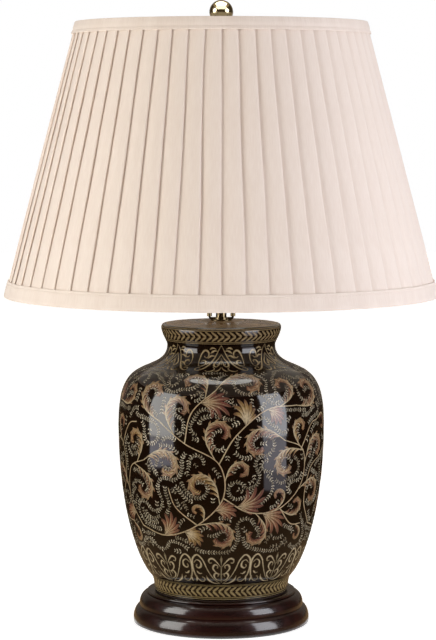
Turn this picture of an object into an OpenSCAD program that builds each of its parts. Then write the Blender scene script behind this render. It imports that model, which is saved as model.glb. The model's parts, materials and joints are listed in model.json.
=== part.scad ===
// Table lamp: a glazed ceramic jar on a turned wooden plinth, with a pleated
// empire shade carried on a harp and held by a ball finial.
// Millimetres, +Z up. The origin is the centre of the underside of the felt,
// the front faces -Y and the harp stands in the XZ plane.

/* [Plinth] */
// Widest diameter of the plinth, at its lower moulding
plinth_d = 166; // [156:1:190]
// Height of the wooden plinth
plinth_h = 29.7; // [27:0.1:40]
// Diameter of the well under the plinth
well_d = 52; // [40:1:80]
// Depth of the well under the plinth
well_depth = 12; // [11:0.5:14]
// Thickness of the felt under the plinth
felt_t = 1; // [0.8:0.1:2]
// Gap from the plinth's lower edge to the edge of the felt
felt_inset = 2; // [1:0.5:8]
// Thickness of the gasket between jar and plinth
gasket_t = 0.8; // [0.5:0.1:1.5]
// Bore of the cord outlet at the back of the plinth
cord_bore_d = 8; // [6:0.2:8.4]
// Wall of the cord bushing
bushing_wall = 0.8; // [0.6:0.1:1]

/* [Jar] */
// Height of the jar from its foot to the top of its crown
jar_h = 254; // [220:1:300]
// Widest diameter of the jar, at the belly
jar_belly_d = 193; // [170:1:220]
// Diameter of the jar's foot
jar_foot_d = 124.8; // [110:1:132]
// Diameter of the jar's neck
jar_neck_d = 101; // [90:1:110]
// Diameter of the jar's lip
jar_lip_d = 112.4; // [104:0.4:124]
// Height of the straight foot band
jar_foot_h = 14.5; // [10:0.5:20]
// Height of the lip above the narrowest place of the neck
jar_lip_h = 20; // [16:0.5:26]
// Rise of the domed crown inside the lip
crown_rise = 2.8; // [1:0.2:5]
// Thickness of the jar's wall
jar_wall = 5; // [4:0.2:7]
// Thickness of the jar's floor over its foot recess
jar_floor_t = 6; // [4:0.5:10]

/* [Rod and fittings] */
// Outside diameter of the hollow rod
rod_d = 8; // [7:0.2:8.6]
// Bore of the hollow rod
rod_bore_d = 5.6; // [4:0.2:6]
// Diameter of the washer under the plinth
washer_d = 30; // [24:1:36]
// Thickness of the washer under the plinth
washer_t = 2; // [1.5:0.1:3]
// Width of the clamp nut across its flats
nut_af = 13; // [12:0.5:16]
// Height of the clamp nut
nut_h = 6.5; // [4:0.5:7]
// Diameter of the check ring on the crown
check_ring_d = 20; // [16:1:30]
// Thickness of the check ring
check_ring_t = 1; // [0.8:0.1:2]
// Outside diameter of the neck tube
neck_tube_d = 10; // [9.6:0.1:12]
// Length of the neck tube
neck_tube_h = 24; // [22:0.5:34]

/* [Harp] */
// Distance between the two pegs of the saddle
saddle_span = 22; // [20:0.5:28]
// Thickness of the saddle's strip
saddle_t = 2; // [1.6:0.1:2.6]
// Width of the saddle's strip
saddle_w = 4.4; // [4.2:0.1:6]
// Diameter of the saddle's pegs
peg_d = 2.4; // [2:0.1:2.6]
// Height of the saddle's pegs
peg_h = 8; // [6:0.5:10]
// Diameter of the harp's wire
harp_wire_d = 2.8; // [2.4:0.1:3.4]
// Outside diameter of the sockets at the ends of the harp
socket_d = 3.6; // [3.4:0.1:3.8]
// Wall of the locking sleeves
sleeve_wall = 0.5; // [0.4:0.1:0.8]
// Length of the locking sleeves
sleeve_h = 9; // [7:0.5:10]
// Travel of the locking sleeves
sleeve_travel = 8; // [6:0.5:9]
// Height of the harp from the saddle to the top of its pad
harp_h = 262; // [245:1:290]
// Width of the harp's bow, over the centre of the wire
harp_bow_w = 112; // [104:1:120]
// Diameter of the flat pad at the top of the harp
harp_pad_d = 18; // [16:1:22]

/* [Lampholder] */
// Outside diameter of the lampholder's shell
holder_d = 33; // [32.6:0.2:36]
// Height of the lampholder's shell
shell_h = 44; // [40:1:48]
// Height of the cup under the shell
cup_h = 20; // [18:0.5:24]
// Thickness of the sheet brass of shell and cup
sheet_t = 0.6; // [0.4:0.1:0.8]
// Diameter of the switch spindle
spindle_d = 4; // [3:0.2:5]
// Diameter of the switch knob
knob_d = 11; // [9:0.5:14]
// Length of the switch knob
knob_h = 11; // [8:0.5:14]

/* [Bulb] */
// Diameter of the bulb's glass
bulb_d = 60; // [50:1:66]
// Length of the bulb, with its cap
bulb_h = 105; // [95:1:115]
// Diameter of the bulb's screw cap
bulb_cap_d = 26; // [25.6:0.1:26.2]

/* [Shade] */
// Diameter of the shade over its top binding
shade_top_d = 271.4; // [240:1:300]
// Diameter of the shade over its bottom binding
shade_bottom_d = 406; // [360:2:440]
// Height of the shade
shade_h = 254; // [220:1:280]
// Number of pleats
pleats = 60; // [40:4:80]
// Depth of one pleat
pleat_step = 1.5; // [1:0.1:2.5]
// Thickness of the cloth at the foot of a pleat
cloth_t = 0.5; // [0.4:0.1:0.8]
// Thickness of the stiff lining
lining_t = 0.6; // [0.4:0.1:1]
// Height of the top binding
top_binding_h = 11.5; // [8:0.5:16]
// Height of the bottom binding
bottom_binding_h = 15; // [10:0.5:20]
// Thickness of the binding
binding_t = 1; // [0.8:0.1:1.5]
// Diameter of the shade's wires
shade_wire_d = 3; // [2.4:0.1:4]
// Depth of the spider's hub under the shade's top edge
spider_drop = 9.5; // [6:0.5:14]
// Diameter of the spider's hub
hub_d = 30; // [26:1:36]
// Hole of the spider's hub
hub_hole_d = 10.6; // [8:0.2:12]
// Thickness of the spider's hub
hub_t = 1.6; // [1.2:0.1:2.5]

/* [Finial] */
// Diameter of the finial's ball
finial_ball_d = 22; // [18:0.5:26]
// Height of the finial from its base to the centre of its ball
finial_neck_h = 18.8; // [16:0.2:24]
// Diameter of the finial's base
finial_base_d = 15; // [13:0.5:18]
// Diameter of the threaded stud
stud_d = 6.3; // [5:0.1:6.6]
// Length of the stud above the spider's hub
stud_h = 14; // [10:0.5:17]
// Thickness of the stud's flange
stud_flange_t = 1.5; // [1:0.1:2.5]

/* [Hidden] */
$fn = 96;

// Names of the sub-parts

// Colours
wood_red = "#3a1410";
glaze = "#1c130e";
brass = "#8a6f3c";
steel = "#b0b0b4";
cream = "#ecd9c6";
baize = "#2f3a2c";
black = "#24201e";

// Clearances: a running fit, a loose hole, and pieces that lie beside each other
run_c = 0.06;
hole_c = 0.4;
lay_c = 0.12;
// A joint in a wire stands this much proud of it
wire_joint_c = 0.04;

// Points of a cubic curve, without its last point
function curve(a, b, c, d, n) = [for (i = [0 : n - 1]) let (t = i / n, u = 1 - t)
    u*u*u*a + 3*u*u*t*b + 3*u*t*t*c + t*t*t*d];
// Points of an elliptic arc about c, from angle a0 to a1
function arc(c, rx, rz, a0, a1, n) = [for (i = [0 : n]) let (a = a0 + (a1 - a0) * i / n)
    c + [rx * cos(a), rz * sin(a)]];
// Points of an outline moved inwards by d, square to the outline
function inset(p, d) = [for (i = [0 : len(p) - 1])
    let (a = p[max(0, i - 1)], b = p[min(len(p) - 1, i + 1)], v = (b - a) / norm(b - a))
    p[i] + d * [-v[1], v[0]]];
function reversed(p) = [for (i = [len(p) - 1 : -1 : 0]) p[i]];

// Heights of the stack, from the felt up
plinth_z = felt_t;
plinth_top = plinth_z + plinth_h;
jar_z = plinth_top + gasket_t;
jar_top = jar_z + jar_h;
saddle_z = jar_top + check_ring_t;
saddle_top = saddle_z + saddle_t;
holder_z = saddle_top + neck_tube_h;
harp_top = saddle_top + harp_h;
hub_z = harp_top + stud_flange_t;
hub_top = hub_z + hub_t;
shade_z = hub_top + spider_drop - shade_h;

// Plinth: a torus, an ovolo and a bead, in heights above its underside
plinth_r = plinth_d / 2;
plinth_edge_r = plinth_r - 0.8;
torus_h = 15.2;
torus_mid = 2.5;
torus_in = 6.5;
bead_h = 2.2;
ovolo_h = plinth_h - torus_h - bead_h;
ovolo_mid = 2;
ovolo_in = 7.3;
ovolo_r = plinth_r - 5.9;
bead_r = plinth_r - 12.8;
crease = 0.3;
rod_r = rod_d / 2;
rod_hole_r = rod_r + hole_c;
fit_r = rod_r + lay_c;
well_top = plinth_z + well_depth;
bushing_r = cord_bore_d / 2 + bushing_wall;
bushing_lip_r = bushing_r + 1;
bushing_lip_t = 1.6;
bushing_len = 14;
bushing_z = plinth_z + bushing_lip_r + 0.8;
bushing_seat_r = plinth_r - 2.6;

// Jar, in heights above its foot
jar_foot_r = jar_foot_d / 2;
jar_band_r = jar_foot_r + 3.6;
jar_belly_r = jar_belly_d / 2;
jar_neck_r = jar_neck_d / 2;
jar_lip_r = jar_lip_d / 2;
jar_edge_z = jar_h - crown_rise;
jar_neck_z = jar_edge_z - jar_lip_h;
jar_belly_z = jar_foot_h + 0.655 * (jar_neck_z - jar_foot_h);
jar_shoulder = [jar_neck_r + 0.394 * (jar_belly_r - jar_neck_r),
    jar_belly_z + 0.747 * (jar_neck_z - jar_belly_z)];
lip_round_r = 2.2;
lip_round_h = 3.6;
lip_z = jar_edge_z - lip_round_h;
crown_edge_r = jar_lip_r - lip_round_r;
jar_outline = concat(
    curve([jar_foot_r, 0], [jar_foot_r + 1, 4], [jar_band_r - 3, jar_foot_h - 3.1],
        [jar_band_r, jar_foot_h], 6),
    curve([jar_band_r, jar_foot_h], [jar_band_r + 14, jar_foot_h + 15.4],
        [jar_belly_r, jar_belly_z - 0.525 * (jar_belly_z - jar_foot_h)],
        [jar_belly_r, jar_belly_z], 24),
    curve([jar_belly_r, jar_belly_z],
        [jar_belly_r, jar_belly_z + 0.62 * (jar_neck_z - jar_belly_z)],
        jar_shoulder + [14.3, -6.6], jar_shoulder, 20),
    curve(jar_shoulder, jar_shoulder + [-4.6, 2.1], [jar_neck_r, jar_neck_z - 12.7],
        [jar_neck_r, jar_neck_z], 12),
    curve([jar_neck_r, jar_neck_z], [jar_neck_r, jar_neck_z + 3.6],
        [jar_lip_r - 1, lip_z - 7.5], [jar_lip_r, lip_z], 8),
    arc([crown_edge_r, lip_z], lip_round_r, lip_round_h, 0, 90, 5));
// The crown is a shallow dome inside the lip, from its edge to a hole on the axis
crown_ball_r = (crown_edge_r * crown_edge_r + crown_rise * crown_rise) / (2 * crown_rise);
crown_a = asin(crown_edge_r / crown_ball_r);
jar_hole_r = rod_r + 1;
function crown(lower) = [for (i = [1 : 10]) let (
    a0 = asin(jar_hole_r / crown_ball_r), a = crown_a + (a0 - crown_a) * i / 10)
    [crown_ball_r * sin(a), jar_h - crown_ball_r * (1 - cos(a)) - lower]];
foot_ring_w = 9;
foot_recess = 3;
jar_floor = foot_recess + jar_floor_t;

// Harp: a leg goes up, turns out, bows in again and meets the pad
leg_x = saddle_span / 2;
saddle_bend_r = saddle_t + 0.8;
saddle_eye_r = neck_tube_d / 2 + 1.4;
leg_seat = saddle_z + saddle_bend_r;
leg_top = leg_seat + sleeve_h + sleeve_travel + 1;
socket_r = socket_d / 2;
sleeve_r = socket_r + run_c + sleeve_wall;
harp_wire_r = harp_wire_d / 2;
harp_pad_t = harp_wire_d + 0.2;
harp_line = harp_top - harp_pad_t / 2;
bend_low_r = 12;
bend_mid_r = 80;
bend_top_r = 30;
lean_out = 50;
lean_in = 8;
out_p = [leg_x + bend_low_r * (1 - cos(lean_out)), leg_top + bend_low_r * sin(lean_out)];
out_len = (harp_bow_w / 2 - bend_mid_r * (1 - cos(lean_out)) - out_p[0]) / sin(lean_out);
mid_p = out_p + out_len * [sin(lean_out), cos(lean_out)];
mid_c = mid_p + bend_mid_r * [-cos(lean_out), sin(lean_out)];
in_p = mid_c + bend_mid_r * [cos(lean_in), sin(lean_in)];
in_len = (harp_line - in_p[1] - bend_top_r * (1 - sin(lean_in))) / cos(lean_in);
top_p = in_p + in_len * [-sin(lean_in), cos(lean_in)];
top_c = top_p + bend_top_r * [-cos(lean_in), -sin(lean_in)];

// Stud in the harp's pad, and the finial on it
stud_r = stud_d / 2;
flange_r = hub_hole_d / 2 + 2.2;
rivet_r = 2.6;
rivet_head_r = 4.4;
rivet_head_t = 1.4;
finial_base_r = finial_base_d / 2;
finial_base_h = 2;
finial_waist_r = stud_r + 1.9;
finial_ball_r = finial_ball_d / 2;
finial_waist_z = finial_neck_h - sqrt(pow(finial_ball_r, 2) - pow(finial_waist_r, 2));

// Lampholder, in heights above its cup's lower end
holder_r = holder_d / 2;
cup_r = holder_r + lay_c + sheet_t;
cup_hub_r = 6.6;
cup_hub_h = 6;
cup_shoulder = cup_h - 8;
flange_t = 2;
shell_z = cup_shoulder + flange_t;
shell_top = shell_z + shell_h;
shell_lip = 1.4;
core_top = shell_z + 18;
liner_r = holder_r - sheet_t - lay_c;
liner_t = 0.8;
core_r = liner_r - liner_t - lay_c;
thread_r = bulb_cap_d / 2 + 0.45;
thread_t = 0.45;
contact_h = 3;
set_screw_r = 1.5;
terminal_r = 1.5;
terminal_head_r = 3;
terminal_head_t = 1.6;
terminal_y = 6.5;
spindle_r = spindle_d / 2;
spindle_z = shell_z + 9.5;
spindle_in = 5;
collar_r = spindle_r + 1.2;
collar_in = core_r - 6;
collar_out = holder_r + 4;
knob_y = collar_out + 0.3;
knob_cap_t = 2;

// Bulb, in heights above its tip
bulb_z = holder_z + core_top + contact_h;
cap_r = bulb_cap_d / 2;
tip_h = 2;
cap_z = tip_h + 5;
cap_h = 20;
thread_pitch = 3.6;
thread_depth = 1.1;
cap_wall = 0.4;
bulb_r = bulb_d / 2;
bulb_mid = bulb_h - bulb_r;
bulb_neck_r = cap_r - thread_depth - cap_wall - 0.3;
bulb_neck_z = cap_z + cap_h;
bulb_turn = 25;
glass_t = 0.8;
stem_r = 2.2;
stem_top = bulb_mid - 14;
filament_r = 0.4;
filament_w = 26;

// Shade, in heights above its lower edge
function over_r(z) = (shade_bottom_d + (shade_top_d - shade_bottom_d) * z / shade_h) / 2;
function fold_r(z) = over_r(z) - binding_t - lay_c;
function valley_r(z) = fold_r(z) - pleat_step;
function back_r(z) = valley_r(z) - cloth_t;
// The flat backs of the pleats reach inwards by a chord's height
function lining_r(z) = back_r(z) * cos(180 * fold_share / pleats) - lay_c;
function inside_r(z) = lining_r(z) - lining_t;
slant = atan((shade_bottom_d - shade_top_d) / 2 / shade_h);
shade_wire_r = shade_wire_d / 2;
// A wire ring lies against the lining, which leans
function ring_r(z) = inside_r(z) - shade_wire_r / cos(slant) - lay_c;
cover_low = binding_t + lay_c;
cover_high = shade_h - cover_low;
ring_low_z = cover_low + shade_wire_r;
ring_high_z = shade_h - ring_low_z;
hem_h = ring_low_z + shade_wire_r + 2;
fold_share = 0.93;
arms = 3;
hub_mid = shade_h - spider_drop - hub_t / 2;
arm_start = hub_d / 2 - 3.5;
arm_r = shade_wire_r - 0.1;

// A flat ring standing at z
module ring(z, r, hole, h) {
    translate([0, 0, z]) difference() {
        cylinder(r = r, h = h);
        translate([0, 0, -1]) cylinder(r = hole, h = h + 2);
    }
}

// What it holds is turned so that its +Z runs forward, at height z
module facing_front(z) {
    translate([0, 0, z]) rotate([90, 0, 0]) children();
}

// Round wire in the XZ plane: a straight run and a bend about c
module wire_run(p, q, r) {
    d = q - p;
    translate([p[0], 0, p[1]]) rotate([0, atan2(d[0], d[1]), 0]) cylinder(r = r, h = norm(d));
}

module wire_bend(c, bend_r, a0, a1, r) {
    translate([c[0], 0, c[1]]) rotate([90, 0, 0]) rotate([0, 0, a0])
        rotate_extrude(angle = a1 - a0) translate([bend_r, 0]) circle(r = r);
}

// Joins two stretches of wire that meet at p
module wire_joint(p, r) {
    translate([p[0], 0, p[1]]) sphere(r = r + wire_joint_c, $fn = 48);
}

// Plinth and what is under it

module felt_pad() {
    color(baize) ring(0, plinth_edge_r - felt_inset, well_d / 2, felt_t);
}

module plinth() {
    color(wood_red)
    difference() {
        translate([0, 0, plinth_z]) rotate_extrude()
            polygon(concat(
                [[rod_hole_r, 0], [plinth_edge_r, 0]],
                arc([plinth_r - torus_in, torus_mid], torus_in, torus_h - torus_mid, -9, 80, 12),
                [[ovolo_r - 2 * crease, torus_h + crease]],
                arc([ovolo_r - ovolo_in, torus_h + ovolo_mid], ovolo_in, ovolo_h - ovolo_mid,
                    -8, 84, 10),
                [[bead_r - 3 * crease, torus_h + ovolo_h]],
                arc([bead_r - bead_h / 2, plinth_h - bead_h / 2], bead_h / 2, bead_h / 2,
                    -50, 90, 7),
                [[rod_hole_r, plinth_h]]));
        translate([0, 0, plinth_z - 1]) cylinder(r = well_d / 2, h = well_depth + 1);
        translate([0, 0, bushing_z]) rotate([-90, 0, 0])
            cylinder(r = bushing_r + lay_c, h = plinth_d);
        translate([0, bushing_seat_r, bushing_z]) rotate([-90, 0, 0])
            cylinder(r = bushing_lip_r + lay_c, h = plinth_d);
    }
}

module cord_bushing() {
    color(black)
    translate([0, bushing_seat_r, bushing_z]) rotate([-90, 0, 0])
    difference() {
        union() {
            translate([0, 0, -bushing_len]) cylinder(r = bushing_r, h = bushing_len);
            cylinder(r = bushing_lip_r, h = bushing_lip_t);
        }
        translate([0, 0, -bushing_len - 1])
            cylinder(r = cord_bore_d / 2, h = bushing_len + bushing_lip_t + 2);
    }
}

module clamp_washer() {
    color(steel) ring(well_top - washer_t, washer_d / 2, rod_hole_r, washer_t);
}

// A hexagon nut with its lower corners turned off
module clamp_nut() {
    color(steel)
    translate([0, 0, well_top - washer_t - nut_h]) difference() {
        intersection() {
            cylinder(r = nut_af / sqrt(3), h = nut_h, $fn = 6);
            cylinder(r1 = nut_af / 2 + 0.2, r2 = nut_af / 2 + 0.2 + nut_h, h = nut_h);
        }
        translate([0, 0, -1]) cylinder(r = fit_r, h = nut_h + 2);
    }
}

module threaded_rod() {
    rod_z = well_top - washer_t - nut_h - 1.6;
    color(steel) ring(rod_z, rod_r, rod_bore_d / 2, holder_z + cup_hub_h - rod_z);
}

// Jar

module foot_gasket() {
    color("#3b2a20") ring(plinth_top, jar_foot_r - 1.2, jar_foot_r - foot_ring_w + 1, gasket_t);
}

module ceramic_jar() {
    cavity = [for (p = inset(jar_outline, jar_wall))
        if (p[1] > jar_floor && p[1] < lip_z - jar_wall) p];
    under_crown = [for (p = crown(jar_wall)) if (p[0] < cavity[len(cavity) - 1][0] - 1) p];
    color(glaze)
    translate([0, 0, jar_z]) rotate_extrude()
        polygon(concat(
            jar_outline,
            crown(0),
            reversed(under_crown),
            reversed(cavity),
            [[cavity[0][0] - 1, jar_floor], [jar_hole_r, jar_floor], [jar_hole_r, foot_recess],
            [jar_foot_r - foot_ring_w - 1, foot_recess], [jar_foot_r - foot_ring_w, 0]]));
}

// Fittings on the crown

module check_ring() {
    color(brass) ring(jar_top, check_ring_d / 2, fit_r, check_ring_t);
}

module neck_tube() {
    color(brass) ring(saddle_top, neck_tube_d / 2, fit_r, neck_tube_h);
}

// A strip with its ends turned up, each with a peg for the harp
module harp_saddle() {
    bend_x = leg_x + saddle_t / 2 - saddle_bend_r;
    color(brass)
    difference() {
        union() {
            translate([0, 0, saddle_z]) cylinder(r = saddle_eye_r, h = saddle_t);
            translate([-bend_x, -saddle_w / 2, saddle_z]) cube([2 * bend_x, saddle_w, saddle_t]);
            for (side = [0, 180]) rotate([0, 0, side]) {
                translate([bend_x, 0, leg_seat]) rotate([90, 0, 0]) rotate([0, 0, -90])
                    rotate_extrude(angle = 90)
                        translate([saddle_bend_r - saddle_t, -saddle_w / 2])
                            square([saddle_t, saddle_w]);
                translate([leg_x, 0, leg_seat]) cylinder(r = peg_d / 2, h = peg_h);
            }
        }
        translate([0, 0, saddle_z - 1]) cylinder(r = fit_r, h = saddle_t + 2);
    }
}

module harp_side() {
    difference() {
        translate([leg_x, 0, leg_seat]) cylinder(r = socket_r, h = leg_top - leg_seat);
        translate([leg_x, 0, leg_seat - 1]) cylinder(r = peg_d / 2 + run_c, h = peg_h + 1.5);
    }
    wire_bend([leg_x + bend_low_r, leg_top], bend_low_r, 180, 180 - lean_out, harp_wire_r);
    wire_run(out_p, mid_p, harp_wire_r);
    wire_bend(mid_c, bend_mid_r, -lean_out, lean_in, harp_wire_r);
    wire_run(in_p, top_p, harp_wire_r);
    wire_bend(top_c, bend_top_r, lean_in, 90, harp_wire_r);
    wire_run([top_c[0], harp_line], [rivet_head_r, harp_line], harp_wire_r);
    for (p = [[leg_x, leg_top], out_p, mid_p, in_p, top_p, [top_c[0], harp_line]])
        wire_joint(p, harp_wire_r);
}

module harp() {
    color(brass)
    difference() {
        union() {
            harp_side();
            mirror([1, 0, 0]) harp_side();
            translate([0, 0, harp_top - harp_pad_t]) cylinder(r = harp_pad_d / 2, h = harp_pad_t);
        }
        translate([0, 0, harp_top - harp_pad_t - 1])
            cylinder(r = rivet_r + run_c, h = harp_pad_t + 2);
    }
}

module sleeve(side) {
    color(brass)
    translate([side * leg_x, 0, 0]) ring(leg_seat, sleeve_r, socket_r + run_c, sleeve_h);
}

module harp_sleeve_left() {
    sleeve(-1);
}

module harp_sleeve_right() {
    sleeve(1);
}

// Lampholder

module holder_cup() {
    bowl = [cup_hub_r, cup_shoulder];
    bowl_w = cup_r - cup_hub_r;
    bowl_h = cup_shoulder - cup_hub_h;
    color(brass)
    translate([0, 0, holder_z]) difference() {
        rotate_extrude() polygon(concat(
            [[fit_r, 0], [cup_hub_r, 0]],
            arc(bowl, bowl_w, bowl_h, -90, 0, 10),
            [[cup_r, cup_h], [cup_r - sheet_t, cup_h]],
            arc(bowl, bowl_w - sheet_t, bowl_h - sheet_t, 0, -90, 10),
            [[fit_r, cup_hub_h + sheet_t]]));
        translate([0, 0, cup_hub_h / 2]) rotate([-90, 0, 0])
            cylinder(r = set_screw_r + run_c, h = 2 * cup_hub_r);
    }
}

module cup_set_screw() {
    screw_end = cup_hub_r + 1.2;
    color(steel)
    translate([0, rod_r + run_c, holder_z + cup_hub_h / 2]) rotate([-90, 0, 0])
    difference() {
        cylinder(r = set_screw_r, h = screw_end - rod_r);
        translate([-set_screw_r - 1, -0.25, screw_end - rod_r - 0.8])
            cube([2 * set_screw_r + 2, 0.5, 1]);
    }
}

module holder_shell() {
    color(brass)
    translate([0, 0, holder_z]) difference() {
        translate([0, 0, shell_z]) rotate_extrude() polygon(concat(
            [[holder_r - sheet_t, 0], [holder_r, 0]],
            arc([holder_r - shell_lip, shell_h - shell_lip], shell_lip, shell_lip, 0, 90, 5),
            arc([holder_r - shell_lip, shell_h - shell_lip], shell_lip - sheet_t,
                shell_lip - sheet_t, 90, 0, 5)));
        facing_front(spindle_z) cylinder(r = collar_r + lay_c, h = holder_d);
    }
}

module insulating_liner() {
    color("#6b5a44")
    translate([0, 0, holder_z]) difference() {
        ring(shell_z, liner_r, liner_r - liner_t, shell_h - shell_lip - 1);
        facing_front(spindle_z) cylinder(r = collar_r + lay_c, h = holder_d);
    }
}

module holder_core() {
    color(black)
    translate([0, 0, holder_z]) difference() {
        union() {
            translate([0, 0, cup_shoulder]) cylinder(r = holder_r, h = flange_t);
            translate([0, 0, shell_z]) cylinder(r = core_r, h = core_top - shell_z);
        }
        translate([0, 0, cup_shoulder - 1]) cylinder(r = rod_bore_d / 2, h = 5);
        facing_front(spindle_z) {
            translate([0, 0, collar_in]) cylinder(r = collar_r + lay_c, h = holder_r);
            translate([0, 0, spindle_in - 1]) cylinder(r = spindle_r + run_c, h = holder_r);
        }
        for (side = [-1, 1]) translate([0, side * terminal_y, cup_shoulder - 1])
            cylinder(r = terminal_r + run_c, h = 7);
    }
}

module terminal_screws() {
    color(steel)
    translate([0, 0, holder_z + cup_shoulder])
    for (side = [-1, 1]) translate([0, side * terminal_y, 0]) {
        cylinder(r = terminal_r, h = 5);
        translate([0, 0, -terminal_head_t]) difference() {
            cylinder(r = terminal_head_r, h = terminal_head_t);
            translate([-terminal_head_r - 1, -0.4, -1]) cube([2 * terminal_head_r + 2, 0.8, 1.7]);
        }
    }
}

module screw_shell() {
    shell_len = shell_top - 2 - core_top;
    color(brass)
    translate([0, 0, holder_z + core_top]) rotate_extrude()
        polygon([[8, 0], [thread_r + thread_t, 0], [thread_r + thread_t, shell_len],
            [thread_r, shell_len], [thread_r, thread_t], [8, thread_t]]);
}

// A leaf spring that rises to the bulb's tip
module centre_contact() {
    leaf = 0.5;
    color(brass)
    translate([0, 3, holder_z + core_top]) rotate([90, 0, 0]) linear_extrude(6)
        polygon([[-6, 0], [5, 0], [5.5, 0.6], [5, 1.2], [2, contact_h], [-2, contact_h],
            [-2, contact_h - leaf], [1.7, contact_h - leaf], [4.2, leaf + 0.2], [4, leaf],
            [-6, leaf]]);
}

module switch_bushing() {
    color(brass)
    translate([0, 0, holder_z]) facing_front(spindle_z)
        ring(collar_in, collar_r, spindle_r + run_c, collar_out - collar_in);
}

module switch_spindle() {
    color(steel)
    translate([0, 0, holder_z]) facing_front(spindle_z) translate([0, 0, spindle_in])
        cylinder(r = spindle_r, h = knob_y + knob_h - knob_cap_t - spindle_in);
}

// A fluted knob with a domed end
module switch_knob() {
    knob_r = knob_d / 2;
    flute_r = knob_r / 6;
    color(black)
    translate([0, 0, holder_z]) facing_front(spindle_z) translate([0, 0, knob_y])
    difference() {
        rotate_extrude() polygon(concat(
            [[spindle_r + run_c, 0], [knob_r - 0.8, 0], [knob_r, 0.8]],
            arc([knob_r - 1.5, knob_h - 1.5], 1.5, 1.5, 0, 90, 6),
            [[0, knob_h], [0, knob_h - knob_cap_t + run_c],
            [spindle_r + run_c, knob_h - knob_cap_t + run_c]]));
        for (i = [0 : 11]) rotate([0, 0, 30 * i]) translate([knob_r + flute_r / 2, 0, 1.6])
            cylinder(r = flute_r, h = knob_h, $fn = 24);
    }
}

// Bulb

module bulb_contact() {
    color(steel)
    translate([0, 0, bulb_z]) rotate_extrude()
        polygon([[0, 0], [3, 0], [4.4, 0.8], [4.8, tip_h], [0, tip_h]]);
}

module bulb_insulator() {
    color(black)
    translate([0, 0, bulb_z]) rotate_extrude()
        polygon([[0, tip_h], [7, tip_h], [cap_r - thread_depth, cap_z], [0, cap_z]]);
}

module bulb_cap() {
    turns = 4;
    thread = [for (i = [0 : 8 * turns]) [cap_r - thread_depth * (1 - cos(45 * i)) / 2,
        cap_z + 2 + thread_pitch * i / 8]];
    bore = cap_r - thread_depth - cap_wall;
    color(steel)
    translate([0, 0, bulb_z]) rotate_extrude()
        polygon(concat([[bore, cap_z], [cap_r - thread_depth, cap_z]], thread,
            [[cap_r - 0.3, bulb_neck_z], [bore, bulb_neck_z]]));
}

module bulb_glass() {
    tip = [bulb_r * cos(bulb_turn), bulb_mid - bulb_r * sin(bulb_turn)];
    outline = concat(
        [[bulb_neck_r, bulb_neck_z - 6]],
        curve([bulb_neck_r, bulb_neck_z], [bulb_neck_r, bulb_neck_z + 10],
            tip - 11 * [sin(bulb_turn), cos(bulb_turn)], tip, 10),
        arc([0, bulb_mid], bulb_r, bulb_r, -bulb_turn, 85, 16));
    color("#e8e6e0")
    translate([0, 0, bulb_z]) rotate_extrude()
        polygon(concat(outline, [[0, bulb_h], [0, bulb_h - glass_t]],
            reversed(inset(outline, glass_t))));
}

module bulb_stem() {
    flare_z = bulb_neck_z - 5;
    flare_r = bulb_neck_r - glass_t - 0.2;
    color("#d8d8d2")
    translate([0, 0, bulb_z]) rotate_extrude()
        polygon([[0, flare_z], [flare_r, flare_z], [flare_r, flare_z + 1], [4, flare_z + 5],
            [stem_r, flare_z + 11], [stem_r, stem_top], [0, stem_top]]);
}

// Two lead wires and the filament between them, with a weld at each end
module bulb_filament() {
    weld_r = 1.5 * filament_r;
    lead_x = stem_r / 2;
    lead_z = stem_top + weld_r + wire_joint_c + lay_c;
    points = [[-lead_x, lead_z], [-filament_w / 2, bulb_mid], [filament_w / 2, bulb_mid],
        [lead_x, lead_z]];
    color(steel)
    translate([0, 0, bulb_z]) {
        for (i = [0 : len(points) - 2]) wire_run(points[i], points[i + 1], filament_r);
        for (p = points) wire_joint(p, weld_r);
    }
}

// Stud, shade and finial

module harp_stud() {
    pad_low = harp_top - harp_pad_t;
    color(brass) {
        translate([0, 0, pad_low - rivet_head_t - lay_c])
            cylinder(r = rivet_head_r, h = rivet_head_t);
        translate([0, 0, pad_low - lay_c]) cylinder(r = rivet_r, h = harp_pad_t + lay_c);
        translate([0, 0, harp_top]) cylinder(r = flange_r, h = stud_flange_t);
        translate([0, 0, hub_z]) cylinder(r = stud_r, h = hub_t + stud_h);
    }
}

// The spider's arms climb straight from the hub to the middle of the top wire
module spider_arms(r) {
    for (i = [0 : arms - 1]) rotate([0, 0, 90 + 360 * i / arms])
        wire_run([arm_start, hub_mid], [ring_r(ring_high_z), ring_high_z], r);
}

module shade_spider() {
    color(brass)
    translate([0, 0, shade_z]) {
        ring(hub_mid - hub_t / 2, hub_d / 2, hub_hole_d / 2, hub_t);
        spider_arms(arm_r);
        translate([0, 0, ring_high_z]) rotate_extrude()
            translate([ring_r(ring_high_z), 0]) circle(r = shade_wire_r);
    }
}

module bottom_ring() {
    color(steel)
    translate([0, 0, shade_z + ring_low_z]) rotate_extrude()
        translate([ring_r(ring_low_z), 0]) circle(r = shade_wire_r);
}

module shade_lining() {
    color("#efe6da")
    translate([0, 0, shade_z]) rotate_extrude()
        polygon([[lining_r(cover_low), cover_low], [lining_r(cover_high), cover_high],
            [inside_r(cover_high), cover_high], [inside_r(cover_low), cover_low]]);
}

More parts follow.
